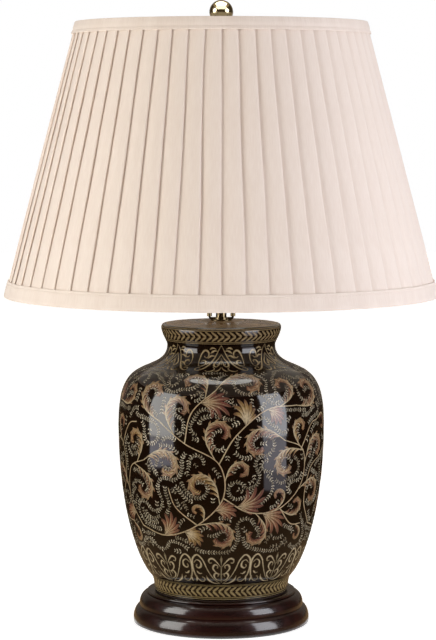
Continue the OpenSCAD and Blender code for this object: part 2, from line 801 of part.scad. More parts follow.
// Cloth in knife pleats: each one rises slowly to its fold and steps down behind it
module pleated_cover() {
    pitch = 360 / pleats;
    n = 2 * pleats;
    function turn(i) = pitch * floor(i / 2) + (i % 2) * pitch * (1 - fold_share);
    function front_r(i, z) = i % 2 == 0 ? fold_r(z) : valley_r(z);
    outer = [for (z = [cover_low, cover_high], i = [0 : n - 1])
        [front_r(i, z) * cos(turn(i)), front_r(i, z) * sin(turn(i)), z]];
    inner = [for (z = [cover_low, cover_high], i = [0 : n - 1])
        [back_r(z) * cos(turn(i)), back_r(z) * sin(turn(i)), z]];
    faces = [for (i = [0 : n - 1]) let (j = (i + 1) % n) each [
        [i, i + n, j + n], [i, j + n, j],
        [i + 2 * n, j + 3 * n, i + 3 * n], [i + 2 * n, j + 2 * n, j + 3 * n],
        [i + n, i + 3 * n, j + 3 * n], [i + n, j + 3 * n, j + n],
        [i, j + 2 * n, i + 2 * n], [i, j, j + 2 * n]]];
    color(cream)
    translate([0, 0, shade_z]) polyhedron(concat(outer, inner), faces);
}

// A binding folds over the edge and hems the wire inside
module top_binding() {
    z = shade_h - top_binding_h;
    hem_r = ring_r(ring_high_z) - shade_wire_r - lay_c;
    color(cream)
    translate([0, 0, shade_z]) difference() {
        rotate_extrude()
            polygon([[over_r(z), z], [over_r(shade_h), shade_h], [hem_r - binding_t, shade_h],
                [hem_r - binding_t, shade_h - hem_h], [hem_r, shade_h - hem_h],
                [hem_r, shade_h - binding_t],
                [over_r(shade_h - binding_t) - binding_t, shade_h - binding_t],
                [over_r(z) - binding_t, z]]);
        spider_arms(arm_r + lay_c);
    }
}

module bottom_binding() {
    z = bottom_binding_h;
    hem_r = ring_r(ring_low_z) - shade_wire_r - lay_c;
    color(cream)
    translate([0, 0, shade_z]) rotate_extrude()
        polygon([[hem_r - binding_t, 0], [over_r(0), 0], [over_r(z), z],
            [over_r(z) - binding_t, z], [over_r(binding_t) - binding_t, binding_t],
            [hem_r, binding_t], [hem_r, hem_h], [hem_r - binding_t, hem_h]]);
}

module ball_finial() {
    color(brass)
    translate([0, 0, hub_top]) difference() {
        union() {
            rotate_extrude() polygon(concat(
                [[0, 0], [finial_base_r, 0]],
                arc([finial_base_r - 1, finial_base_h - 1], 1, 1, 0, 90, 4),
                arc([finial_base_r - 1, finial_waist_z], finial_base_r - 1 - finial_waist_r,
                    finial_waist_z - finial_base_h, -90, -180, 8),
                [[finial_waist_r, finial_neck_h], [0, finial_neck_h]]));
            translate([0, 0, finial_neck_h]) sphere(r = finial_ball_r);
        }
        translate([0, 0, -1]) cylinder(r = stud_r + run_c, h = stud_h + 2);
    }
}

felt_pad();
plinth();
cord_bushing();
clamp_washer();
clamp_nut();
threaded_rod();
foot_gasket();
ceramic_jar();
check_ring();
neck_tube();
harp_saddle();
harp();
harp_sleeve_left();
harp_sleeve_right();
holder_cup();
cup_set_screw();
holder_shell();
insulating_liner();
holder_core();
terminal_screws();
screw_shell();
centre_contact();
switch_bushing();
switch_spindle();
switch_knob();
bulb_contact();
bulb_insulator();
bulb_cap();
bulb_glass();
bulb_stem();
bulb_filament();
harp_stud();
shade_spider();
bottom_ring();
shade_lining();
pleated_cover();
top_binding();
bottom_binding();
ball_finial();
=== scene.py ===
# %% [markdown]
# # Dressing a jar lamp
# The lamp arrives as an assembly of exact solids that already move on their joints. This lesson
# gives it its surfaces: a glazed and painted jar, a lacquered plinth, a knife-pleated shade and
# aged brass. Nothing is moved. A solid either keeps its shape and gets a finish, or it is hidden
# and a finer piece stands in the same place.

import json
import math
from itertools import product

import bmesh
import bpy
import numpy as np
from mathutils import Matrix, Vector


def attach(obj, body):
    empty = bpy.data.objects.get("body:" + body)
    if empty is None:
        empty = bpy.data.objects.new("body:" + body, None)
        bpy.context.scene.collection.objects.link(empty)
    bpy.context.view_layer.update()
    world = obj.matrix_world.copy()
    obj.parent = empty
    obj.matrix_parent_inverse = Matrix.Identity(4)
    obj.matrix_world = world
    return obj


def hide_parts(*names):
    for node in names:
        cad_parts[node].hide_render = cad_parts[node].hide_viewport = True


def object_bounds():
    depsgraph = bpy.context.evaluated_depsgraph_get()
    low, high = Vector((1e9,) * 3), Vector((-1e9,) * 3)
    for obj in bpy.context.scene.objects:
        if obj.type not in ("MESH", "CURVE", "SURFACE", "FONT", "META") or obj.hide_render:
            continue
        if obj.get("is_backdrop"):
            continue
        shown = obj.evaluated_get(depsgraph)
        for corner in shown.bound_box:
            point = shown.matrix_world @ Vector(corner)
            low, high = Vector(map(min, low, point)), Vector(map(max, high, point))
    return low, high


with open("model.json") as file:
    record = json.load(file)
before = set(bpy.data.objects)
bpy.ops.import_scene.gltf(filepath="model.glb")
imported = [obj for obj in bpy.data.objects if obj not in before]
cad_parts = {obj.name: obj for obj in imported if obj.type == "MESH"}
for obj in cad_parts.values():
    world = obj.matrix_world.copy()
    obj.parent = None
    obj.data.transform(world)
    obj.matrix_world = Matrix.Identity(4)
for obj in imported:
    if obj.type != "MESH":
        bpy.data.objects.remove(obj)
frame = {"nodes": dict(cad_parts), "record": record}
cad_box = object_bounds()

# %% [markdown]
# ## Sockets as values
# A node tree is a formula. Written node by node it takes pages, so one small class stands for an
# output socket: adding or multiplying it adds a Math node, and its one method adds any other node.

# %% One class for both kinds of node tree
MM = 0.001


def shown(sockets, name=None):
    """The first socket in use, or the one of that name: a node keeps one for each kind of data."""
    return next(s for s in sockets if s.enabled and name in (None, s.name))


class Link:
    """An output socket of a node tree; arithmetic on it adds Math nodes."""

    def __init__(self, socket):
        self.socket = socket

    def node(self, kind, settings=None, values=None, out=None):
        """Adds a node: first its settings, then the values or links of its sockets."""
        tree = self.socket.id_data
        made = tree.nodes.new(kind)
        for name, value in (settings or {}).items():
            setattr(made, name, value)
        for name, value in (values or {}).items():
            socket = made.inputs[name] if isinstance(name, int) else shown(made.inputs, name)
            if isinstance(value, Link):
                tree.links.new(value.socket, socket)
            else:
                socket.default_value = value
        return Link(shown(made.outputs, out))

    def also(self, out):
        """Another output of the same node."""
        return Link(self.socket.node.outputs[out])

    def math(self, operation, *others):
        """A Math node with this socket first."""
        inputs = dict(enumerate((self, *others)))
        return self.node("ShaderNodeMath", {"operation": operation}, inputs)

    def pick(self, low, high):
        """Mixes two colours by this socket."""
        ends = {6: low, 7: high}
        ends = {k: v if isinstance(v, Link) else (*v, 1) for k, v in ends.items()}
        return self.node("ShaderNodeMix", {"data_type": "RGBA"}, {0: self, **ends})

    def between(self, low, high):
        """0 under low, 1 over high, and a smooth rise between them."""
        ends = {"Value": self, "From Min": low, "From Max": high}
        return self.node("ShaderNodeMapRange", {"interpolation_type": "SMOOTHSTEP"}, ends)

    def noise(self, scale, detail, stretch=None):
        """Noise at this place, from 0 to 1."""
        place = self
        if stretch:
            place = self.node("ShaderNodeMapping", None, {"Vector": self, "Scale": stretch})
        values = {"Vector": place, "Scale": scale, "Detail": detail}
        return place.node("ShaderNodeTexNoise", None, values)

    def kept(self, name, kind="FLOAT"):
        """What the points of a geometry keep under a name."""
        return self.node("GeometryNodeInputNamedAttribute", {"data_type": kind}, {"Name": name})

    def __add__(self, other):
        return self.math("ADD", other)

    def __mul__(self, other):
        return self.math("MULTIPLY", other)

    def __sub__(self, other):
        return self.math("SUBTRACT", other)

    def __truediv__(self, other):
        return self.math("DIVIDE", other)

    def __rsub__(self, other):
        return self.node("ShaderNodeMath", {"operation": "SUBTRACT"}, {0: other, 1: self})

    __radd__, __rmul__ = __add__, __mul__


# %% [markdown]
# ## Camera, floor and light
# The picture was taken from a little over two metres away with a long lens, slightly above the
# lamp and looking down by five degrees. Two soft boxes stand left and right of it: they light the
# shade from both sides and leave their shapes in the glaze. The background is plain white.

# %% The camera
CAMERA_AWAY, CAMERA_UP = 2.218, 0.477
CAMERA_DOWN = math.radians(4.93)
FOCAL_PX, PICTURE_H, SENSOR = 2375, 640, 36
AXIS_SHIFT = 0.003


def placed(name, data):
    """An object of that data, linked to the scene."""
    made = bpy.data.objects.new(name, data)
    bpy.context.collection.objects.link(made)
    return made


eye = bpy.data.cameras.new("eye")
eye.sensor_fit, eye.sensor_height = "VERTICAL", SENSOR
eye.lens = FOCAL_PX / PICTURE_H * SENSOR
camera = placed("camera", eye)
camera.location = (-AXIS_SHIFT, -CAMERA_AWAY, CAMERA_UP)
camera.rotation_euler = (math.pi / 2 - CAMERA_DOWN, 0, 0)
bpy.context.scene.camera = camera
bpy.context.scene.view_settings.view_transform = "Standard"
print("lens", round(eye.lens, 1), "mm")


# %% Colours and finishes
def tint(code):
    """A colour written as on a paint card, in the linear values that a shader takes."""
    steps = [int(code[i : i + 2], 16) / 255 for i in (0, 2, 4)]
    return tuple(s / 12.92 if s <= 0.04045 else ((s + 0.055) / 1.055) ** 2.4 for s in steps)


def finish(name, code, rough, **fixed):
    """A finish of one colour, its shader, and the place on the piece to vary it by."""
    made = bpy.data.materials.new(name)
    made.use_nodes = True
    shader = made.node_tree.nodes["Principled BSDF"]
    shader.inputs["Base Color"].default_value = (*tint(code), 1)
    shader.inputs["Roughness"].default_value = rough
    for socket, value in fixed.items():
        shader.inputs[socket.replace("_", " ")].default_value = value
    made.diffuse_color = (*tint(code), 1)
    place = Link(made.node_tree.nodes.new("ShaderNodeTexCoord").outputs["Object"])
    return made, shader, place


def feed(shader, **links):
    """Links sockets of a finish to what varies over its surface."""
    for socket, link in links.items():
        link.socket.id_data.links.new(link.socket, shader.inputs[socket.replace("_", " ")])


def relief(height, depth, strength):
    """A bump of the given depth in metres, at full strength 1."""
    values = {"Height": height, "Distance": depth, "Strength": strength}
    return height.node("ShaderNodeBump", None, values)


# %% The floor and the white background
def plain_mesh(name, points, faces):
    """A mesh object at the origin, linked to the scene."""
    mesh = bpy.data.meshes.new(name)
    mesh.from_pydata([tuple(p) for p in points], [], [tuple(int(i) for i in f) for f in faces])
    return placed(name, mesh)


def quads(rows, columns, closed=False, ring=True):
    """Faces of a grid of points, row after row. Rows can be rings, and the last can meet the first."""
    faces = []
    for i in range(rows if closed else rows - 1):
        low, high = i * columns, (i + 1) % rows * columns
        for j in range(columns if ring else columns - 1):
            k = (j + 1) % columns
            faces.append((low + j, low + k, high + k, high + j))
    return faces


def looked_at(owner):
    """1 where the eye, a polished or a clear surface looks, 0 where light is only gathered."""
    rays = Link(owner.node_tree.nodes.new("ShaderNodeLightPath").outputs["Is Camera Ray"])
    return rays.math("MAXIMUM", rays.also("Is Glossy Ray")).math("MAXIMUM", rays.also("Is Transmission Ray"))


FLOOR_REACH, FLOOR_LIFT, WHITE = 6.0, 0.75, (1, 1, 1)
corners = [(-1, -1), (1, -1), (1, 1), (-1, 1)]
floor = plain_mesh("floor", [(FLOOR_REACH * x, FLOOR_REACH * y, 0) for x, y in corners], [(0, 1, 2, 3)])
floor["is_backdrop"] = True
pale, pale_shader, _ = finish("pale_floor", "e6e4e0", 0.9, Specular_IOR_Level=0.1)
seen = looked_at(pale)
glow = seen.node("ShaderNodeEmission", None, {"Color": (*WHITE, 1), "Strength": seen * FLOOR_LIFT})
both = glow.node("ShaderNodeAddShader", None, {0: Link(pale_shader.outputs[0]), 1: glow})
pale.node_tree.links.new(both.socket, pale.node_tree.nodes["Material Output"].inputs["Surface"])
floor.data.materials.append(pale)

SKY_LEVEL, SKY_TINT = 0.44, (1, 0.935, 0.885)
world = bpy.data.worlds.new("studio")
world.use_nodes = True
bpy.context.scene.world = world
back = world.node_tree.nodes["Background"]
seen = looked_at(world)
level = seen * (1 - SKY_LEVEL) + SKY_LEVEL
world.node_tree.links.new(level.socket, back.inputs["Strength"])
world.node_tree.links.new(seen.pick(SKY_TINT, WHITE).socket, back.inputs["Color"])
print("background white, sky at", SKY_LEVEL)


# %% Two soft boxes, and the panels that they leave in the glaze
def stand_at(azimuth, height, away):
    """A place at an angle to the right of the camera's side, as seen from the lamp's axis."""
    turn = math.radians(azimuth)
    return (away * math.sin(turn), -away * math.cos(turn), height)


def reflected(piece, colour, strength):
    """Makes a stage piece a glow that only polished surfaces see."""
    glow = bpy.data.materials.new(piece.name + "_glow")
    glow.use_nodes = True
    nodes = glow.node_tree.nodes
    light = nodes.new("ShaderNodeEmission")
    light.inputs["Color"].default_value = (*colour, 1)
    light.inputs["Strength"].default_value = strength
    glow.node_tree.links.new(light.outputs[0], nodes["Material Output"].inputs["Surface"])
    piece.data.materials.append(glow)
    piece.visible_camera = piece.visible_diffuse = piece.visible_shadow = False
    piece.visible_transmission = False
    piece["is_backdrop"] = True


# A panel's top is an arch; a glint is as wide as this share of its distance and the panel's width
ARCH_FROM, ARCH_RISE, ARCH_STEPS, GLINT_SPREAD, GLINT_UP = 0.3, 0.2, 16, 0.36, 0.0012
GLINT_COLOUR = (0.93, 0.9, 1)


def soft_box(name, lamp_at, lamp_size, watts, light, panel_at, panel_size, gloss, colour, glints):
    """An area light; and for polished surfaces a panel near it and its glints on the table."""
    lamp = bpy.data.lights.new(name, "AREA")
    lamp.shape, lamp.energy, lamp.color = "RECTANGLE", watts, light
    lamp.size, lamp.size_y = lamp_size
    made = placed(name, lamp)
    made.location = stand_at(*lamp_at)
    made.rotation_euler = (math.pi / 2, 0, math.radians(lamp_at[0]))
    made.visible_glossy = made.visible_camera = False
    wide, high = panel_size
    bow = [math.pi * n / ARCH_STEPS for n in range(ARCH_STEPS + 1)]
    arch = [(wide / 2 * math.cos(a), 0, high * (ARCH_FROM + ARCH_RISE * math.sin(a))) for a in bow]
    edge = [(-wide / 2, 0, -high / 2), (wide / 2, 0, -high / 2), *arch]
    panel = plain_mesh(name + "_panel", edge, [range(len(edge))])
    panel.location, panel.rotation_euler = stand_at(*panel_at), (0, 0, math.radians(panel_at[0]))
    reflected(panel, colour, gloss)
    for n, (near, far, share) in enumerate(glints):
        ends = ((-1, near), (1, near), (1, far), (-1, far))
        strip = [(side * y * wide * GLINT_SPREAD, -y, GLINT_UP) for side, y in ends]
        glint = plain_mesh(f"{name}_glint_{n}", strip, [(0, 1, 2, 3)])
        glint.rotation_euler = (0, 0, math.radians(panel_at[0]))
        reflected(glint, GLINT_COLOUR, gloss * share)


# Places are (angle, height, distance), sizes (width, height), glints (near, far, share of the panel)
BOX_AWAY = 1.3
soft_box(
    "box_left",
    lamp_at=(-56, 0.33, BOX_AWAY),
    lamp_size=(0.80, 0.62),
    watts=9.6,
    light=(0.93, 0.98, 1),
    panel_at=(-68, 0.62, BOX_AWAY),
    panel_size=(0.76, 1.22),
    gloss=6.2,
    colour=(1, 0.98, 0.94),
    glints=[(0.7, 1.3, 0.45)],
)
soft_box(
    "box_right",
    lamp_at=(62, 0.26, BOX_AWAY),
    lamp_size=(0.74, 0.80),
    watts=13.9,
    light=(0.767, 0.84, 1),
    panel_at=(60, 0.62, BOX_AWAY),
    panel_size=(0.70, 1.22),
    gloss=6.5,
    colour=(0.92, 0.94, 1),
    glints=[(0.65, 1.3, 0.42), (0.45, 0.65, 0.2)],
)
print("two soft boxes", BOX_AWAY, "m away")

# %% A dim room, which polished surfaces see where no soft box stands
ROOM_R, ROOM_H, SIDES, BACK_SIDES = 3.6, 3.2, 36, 5
turns = [2 * math.pi * (i + 0.5) / SIDES for i in range(SIDES)]
rim = [(ROOM_R * math.sin(a), -ROOM_R * math.cos(a)) for a in turns]
points = [(x, y, 0) for x, y in rim] + [(x, y, ROOM_H) for x, y in rim]
around_room = quads(2, SIDES)
behind = [i for i in range(SIDES) if abs(i + 1 - SIDES / 2) < BACK_SIDES]
for name, faces, colour, level in (
    ("dim_room", [around_room[i] for i in range(SIDES) if i not in behind], (1, 0.72, 0.5), 0.05),
    ("dim_ceiling", [tuple(range(SIDES, 2 * SIDES))], (1, 0.8, 0.6), 0.35),
    ("dim_back", [around_room[i] for i in behind], (1, 0.82, 0.66), 0.16),
):
    reflected(plain_mesh(name, points, faces), colour, level)

# The table is brown and lit only round the lamp: rings that grow dimmer outwards lie over the floor
RING_FROM, RING_STEP, RING_COUNT, RING_UP, TABLE_COLOUR = 0.09, 0.04, 14, 0.0006, (1, 0.64, 0.32)
LIT, DARK, FADE = 0.26, 0.04, 4
rings = [(RING_FROM + RING_STEP * n, DARK + LIT / (1 + (n / FADE) ** 4)) for n in range(RING_COUNT)]
rings.append((ROOM_R, 0))
for n, ((near, level), (far, _)) in enumerate(zip(rings, rings[1:])):
    points = [(r * math.sin(a), -r * math.cos(a), RING_UP) for r in (near, far) for a in turns]
    reflected(plain_mesh(f"dim_table_{n}", points, around_room), TABLE_COLOUR, level)

# Two bright panels overhead, for the finial and, through the shade, for the jar's shoulder:
# (half width, near, far, height, strength)
TOP_PANELS = [(0.3, 0.11, 0.5, 0.80, 2.2), (1.3, -0.9, 0.9, 2.4, 6.0)]
for n, (wide, near, far, high, level) in enumerate(TOP_PANELS):
    flat = [(-wide, -far, high), (wide, -far, high), (wide, -near, high), (-wide, -near, high)]
    reflected(plain_mesh(f"top_panel_{n}", flat, [(0, 1, 2, 3)]), (1, 0.97, 0.9), level)
print(len(rings) - 1, "rings of the table,", len(TOP_PANELS), "panels overhead")

# %% [markdown]
# ## Turned shapes
# The jar, the wash on its crown and the bindings of the shade are all round about the lamp's axis.
# An outline turned about the axis makes each of them. The outline is a closed loop, so the piece is
# a closed shell, hollow or solid, and its faces are turned outwards once its doubles are merged.


# %% Turning an outline about the axis
def cubic(a, b, c, d, count):
    """Points of a cubic curve with its last point left out, as the solids have it."""
    a, b, c, d = (np.array(point) for point in (a, b, c, d))
    t = np.linspace(0, 1, count, endpoint=False)[:, None]
    u = 1 - t
    return u**3 * a + 3 * u * u * t * b + 3 * u * t * t * c + t**3 * d


def arc(centre, wide, high, start, end, count):
    """Points of an elliptic arc, angles in degrees."""
    turn = np.radians(np.linspace(start, end, count))
    return np.column_stack([centre[0] + wide * np.cos(turn), centre[1] + high * np.sin(turn)])


def tidy(made):
    """Merges what lies together, turns the faces outwards and shades them."""
    work = bmesh.new()
    work.from_mesh(made.data)
    bmesh.ops.remove_doubles(work, verts=work.verts, dist=1e-7)
    bmesh.ops.recalc_face_normals(work, faces=work.faces)
    work.to_mesh(made.data)
    work.free()
    made.data.polygons.foreach_set("use_smooth", [True] * len(made.data.polygons))
    made.data.update()
    return made


def turned(name, outline, around, body, material, crease=35):
    """Turns an outline in millimetres, (radius, height), about the axis."""
    outline = np.asarray(outline, float) * MM
    turn = np.arange(around) * 2 * math.pi / around
    radius, height = outline[:, :1], outline[:, 1:]
    points = np.stack([radius * np.sin(turn), -radius * np.cos(turn), height + 0 * turn], -1)
    made = tidy(plain_mesh(name, points.reshape(-1, 3), quads(len(outline), around, closed=True)))
    made.data.set_sharp_from_angle(angle=math.radians(crease))
    made.data.materials.append(material)
    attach(made, body)
    return made


# %% [markdown]
# ## The jar
# A baluster jar of thin porcelain under a brown-black glaze. Its outline is one flowing line: foot,
# belly, shoulder, neck, a rolled lip and a shallow crown. The solid has the same outline with fewer
# points, so a finer one stands in its place. The painted work needs to know where a point of that
# line is and which way it faces, so the outer line is kept as a ruler along the surface.

# %% The jar's outline
JAR_Z = 31.5
JAR_H, FOOT_R, BAND_R, BELLY_R, NECK_R, LIP_R, FOOT_H = 254, 62.4, 66.0, 96.5, 50.5, 56.2, 14.5
CROWN_RISE, NECK_HOLE_R = 2.8, 5
EDGE_Z = JAR_H - CROWN_RISE
NECK_Z = EDGE_Z - 20
BELLY_Z = FOOT_H + 0.655 * (NECK_Z - FOOT_H)
SHOULDER = np.array([NECK_R + 0.394 * (BELLY_R - NECK_R), BELLY_Z + 0.747 * (NECK_Z - BELLY_Z)])
LIP_Z, ROUND_R, ROUND_H, CROWN_R = EDGE_Z - 3.6, 2.2, 3.6, LIP_R - 2.2

rise, fall = BELLY_Z - FOOT_H, NECK_Z - BELLY_Z
foot, band, belly = (FOOT_R, 0), (BAND_R, FOOT_H), (BELLY_R, BELLY_Z)
neck, lip = (NECK_R, NECK_Z), (LIP_R, LIP_Z)
wall = np.vstack(
    [
        cubic(foot, (FOOT_R + 1, 4), (BAND_R - 3, FOOT_H - 3.1), band, 10),
        cubic(band, (BAND_R + 14, FOOT_H + 15.4), (BELLY_R, BELLY_Z - 0.525 * rise), belly, 60),
        cubic(belly, (BELLY_R, BELLY_Z + 0.62 * fall), SHOULDER + (14.3, -6.6), SHOULDER, 50),
        cubic(SHOULDER, SHOULDER + (-4.6, 2.1), (NECK_R, NECK_Z - 12.7), neck, 26),
        cubic(neck, (NECK_R, NECK_Z + 3.6), (LIP_R - 1, LIP_Z - 7.5), lip, 18),
        arc((CROWN_R, LIP_Z), ROUND_R, ROUND_H, 0, 84, 9),
    ]
)
ball = (CROWN_R**2 + CROWN_RISE**2) / (2 * CROWN_RISE)
lean = np.linspace(math.asin(CROWN_R / ball), math.asin(NECK_HOLE_R / ball), 26)
crown = np.column_stack([ball * np.sin(lean), JAR_H - ball * (1 - np.cos(lean))])
outer = np.vstack([wall, crown])
# The hollow inside, from the hole in the crown down to the foot's lower face
inner = [(NECK_HOLE_R, 249), (30, 248.2), (46, 246), (46, 229), (49.5, 219.5), (60, 211), (78, 201)]
inner += [(88, 186), (91.5, 160), (88, 110), (76, 50), (60, 15), (50, 9), (NECK_HOLE_R, 9)]
inner += [(NECK_HOLE_R, 3), (52.4, 3), (53.4, 0)]

step = np.hypot(*np.diff(outer, axis=0).T)
RULER = np.concatenate([[0], np.cumsum(step)])
slope = np.gradient(outer, RULER, axis=0)
slope /= np.linalg.norm(slope, axis=1)[:, None]
print("up the jar", round(RULER[-1]), "mm, lip at", round(RULER[len(wall) - 1]), "mm")


def up_to(height):
    """How far up the surface a height above the foot is, below the lip."""
    return float(np.interp(height, wall[:, 1], RULER[: len(wall)]))


def girth(up):
    """The jar's radius at a place on the ruler."""
    return np.interp(up, RULER, outer[:, 0])


def facing(up):
    """Which way the jar faces there, outwards and upwards."""
    return np.interp(up, RULER, slope[:, 1]), -np.interp(up, RULER, slope[:, 0])


def on_jar(turn, up, proud):
    """Points in metres on the jar, at an angle from the front and a way up, a bit proud."""
    radius, height = girth(up), np.interp(up, RULER, outer[:, 1]) + JAR_Z
    out_r, out_z = facing(up)
    radius, height = radius + proud * out_r, height + proud * out_z
    return np.column_stack([radius * np.sin(turn), -radius * np.cos(turn), height + 0 * turn]) * MM


def faces_on_jar(turn, up):
    """The same as a direction at an angle from the front."""
    out_r, out_z = facing(up)
    return np.column_stack([out_r * np.sin(turn), -out_r * np.cos(turn), out_z + 0 * turn])


def keep(made, name, values, kind="FLOAT", key="value"):
    """Keeps a number, a direction or a colour on every point of a mesh, by name."""
    made.attributes.new(name, kind, "POINT").data.foreach_set(key, np.ravel(values))


# %% Glaze
glaze, shader, place = finish("glaze", "0c0503", 0.07, Specular_IOR_Level=0.5, IOR=1.5)
cloud = place.noise(14, 3)
feed(
    shader,
    Base_Color=cloud.pick(tint("0a0401"), tint("190b04")),
    Roughness=place.noise(60, 2) * 0.06 + 0.04,
    Normal=relief(place.noise(35, 2), 0.0004, 0.25),
)
jar = turned("glazed_jar", np.vstack([outer, inner]) + (0, JAR_Z), 240, "lamp", glaze)
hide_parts("ceramic_jar")
print("jar faces", len(jar.data.polygons))

# %% [markdown]
# ## Painting on the jar
# The decoration is enamel laid on with a fine brush, under a clear glaze. Each stroke is a narrow
# ribbon on the jar's surface, a tenth of a millimetre proud, that carries its colour in its own
# points. A stroke is drawn flat, in millimetres to the right and up, and then laid on the jar,
# where a millimetre stays a millimetre whatever the jar's width. Later strokes lie higher.

# %% The brush
PALE, TAN, EMBER, RUST, PLUM = (tint(c) for c in ("b8a483", "8d6f4e", "7b4f39", "57392c", "2a1a18"))
STALK, KHAKI, CREAM = (tint(c) for c in ("92805f", "7b6b50", "b8a685"))


def way(points, count):
    """A smooth line through a few points, as many evenly spaced points."""
    points = np.asarray(points, float)
    ends = np.vstack([2 * points[0] - points[1], points, 2 * points[-1] - points[-2]])
    line = []
    for a, b, c, d in zip(ends, ends[1:], ends[2:], ends[3:]):
        t = np.linspace(0, 1, 24, endpoint=False)[:, None]
        bend, twist = 2 * a - 5 * b + 4 * c - d, 3 * b - a - 3 * c + d
        line.append(0.5 * (2 * b + (c - a) * t + bend * t**2 + twist * t**3))
    line = np.vstack([*line, points[-1:]])
    along = np.concatenate([[0], np.cumsum(np.hypot(*np.diff(line, axis=0).T))])
    places = np.linspace(0, along[-1], count)
    return np.column_stack([np.interp(places, along, line[:, k]) for k in (0, 1)])


def curl(length, start, bends, count):
    """A line of a given length whose direction turns from start by bends, (share, degrees)."""
    share = np.linspace(0, 1, count)
    turn = math.radians(start) + np.radians(np.interp(share, *zip(*bends)))
    step = length / (count - 1)
    moves = np.column_stack([np.cos(turn), np.sin(turn)]) * step
    return np.vstack([[0, 0], np.cumsum(moves[:-1], axis=0)])


def lay(flat, turn, up):
    """Where a flat line comes to lie when its first point is put at a place: angles and ways up."""
    ups = np.clip(up + flat[:, 1] - flat[0, 1], 1, RULER[-1] - 2)
    moves = np.diff(flat[:, 0], prepend=flat[0, 0])
    return turn + np.cumsum(moves / girth(ups)), ups


EDGE_DROP, RIDGE = 0.03, 0.01


class Paintwork:
    """Strokes gathered into one mesh, with their colours."""

    def __init__(self):
        self.points, self.faces, self.colours, self.count = [], [], [], 0

    def stroke(self, laid, wide, colours, proud):
        """A ribbon with a low ridge along laid; its width and its colours change along it."""
        turn, up = laid
        count = len(turn)
        share = np.linspace(0, 1, count)
        wide = np.interp(share, *zip(*wide)) if np.ndim(wide) else np.full(count, wide)
        radius = girth(up)
        along = np.column_stack([np.gradient(turn) * radius, np.gradient(up)])
        along /= np.maximum(np.linalg.norm(along, axis=1)[:, None], 1e-9)
        side = np.column_stack([-along[:, 1], along[:, 0]]) * wide[:, None] / 2
        for across, lift in ((1, proud - EDGE_DROP), (0, proud + RIDGE), (-1, proud - EDGE_DROP)):
            self.points.append(on_jar(turn + across * side[:, 0] / radius, up + across * side[:, 1], lift))
        for row in (0, 1):
            a = self.count + row * count + np.arange(count - 1)
            self.faces.append(np.column_stack([a, a + count, a + count + 1, a + 1]))
        stops = np.linspace(0, 1, len(colours))
        line = np.column_stack([np.interp(share, stops, [c[k] for c in colours]) for k in range(3)])
        self.colours.append(np.tile(line, (3, 1)))
        self.count += 3 * count

    def done(self, name):
        """The mesh of all strokes so far, in enamel."""
        made = plain_mesh(name, np.vstack(self.points), np.vstack(self.faces))
        colours = np.column_stack([np.vstack(self.colours), np.ones(self.count)])
        keep(made.data, "paint", colours, "FLOAT_COLOR", "color")
        made.data.polygons.foreach_set("use_smooth", [True] * len(made.data.polygons))
        made.data.materials.append(enamel)
        return made

    def on_lamp(self, name):
        """The same as a piece that rides on the lamp."""
        made = self.done(name)
        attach(made, "lamp")
        return made


# %% Enamel
enamel, shader, place = finish("enamel", "b39a5e", 0.2, Specular_IOR_Level=0.5)
paint = place.node("ShaderNodeAttribute", {"attribute_name": "paint"})
worn = place.noise(420, 2).between(0.2, 0.6) * 0.45 + 0.55
feed(shader, Base_Color=worn.pick(tint("2a1c12"), paint), Roughness=place.noise(300, 1) * 0.2 + 0.08)

# %% [markdown]
# ## Trees that repeat a piece
# Two small Geometry Nodes trees do the repeating. One sets copies of a mesh evenly about the lamp's
# axis: the chevrons and scrolls of the borders, and later petals and stitches. The other sets
# copies along lines that lie on the jar, for the leaves of the vines. Both end in real geometry.


# %% Making and growing a tree
SOCKETS = {
    int: "NodeSocketInt",
    float: "NodeSocketFloat",
    bpy.types.Object: "NodeSocketObject",
    bpy.types.Material: "NodeSocketMaterial",
}


def tree(name, sizes):
    """An empty Geometry Nodes tree with named inputs, and those inputs as links."""
    made = bpy.data.node_groups.new(name, "GeometryNodeTree")
    made.interface.new_socket("Geometry", in_out="INPUT", socket_type="NodeSocketGeometry")
    made.interface.new_socket("Geometry", in_out="OUTPUT", socket_type="NodeSocketGeometry")
    for key, value in sizes.items():
        kind = value if isinstance(value, type) else type(value)
        socket = made.interface.new_socket(key, in_out="INPUT", socket_type=SOCKETS[kind])
        if kind in (int, float):
            socket.default_value = value
    start = made.nodes.new("NodeGroupInput")
    return made, {socket.name: Link(socket) for socket in start.outputs if socket.name}


def copies_of(piece, count, **more):
    """So many copies of a piece, all in one place unless a rotation is given as well."""
    spots = count.node("GeometryNodeMeshLine", None, {"Count": count, "Offset": (0, 0, 0)})
    put = {"Points": spots, "Instance": piece, **more}
    return spots.node("GeometryNodeInstanceOnPoints", None, put)


def store(geometry, name, kind, value):
    """Keeps a value on every copy under a name."""
    settings = {"data_type": kind, "domain": "INSTANCE"}
    values = {"Geometry": geometry, "Name": name, "Value": value}
    return geometry.node("GeometryNodeStoreNamedAttribute", settings, values)


def end_tree(made, geometry, material):
    """Ends a tree in real geometry with its material."""
    real = geometry.node("GeometryNodeRealizeInstances", None, {"Geometry": geometry})
    dressed = real.node("GeometryNodeSetMaterial", None, {"Geometry": real, "Material": material})
    made.links.new(dressed.socket, made.nodes.new("NodeGroupOutput").inputs[0])
    return made


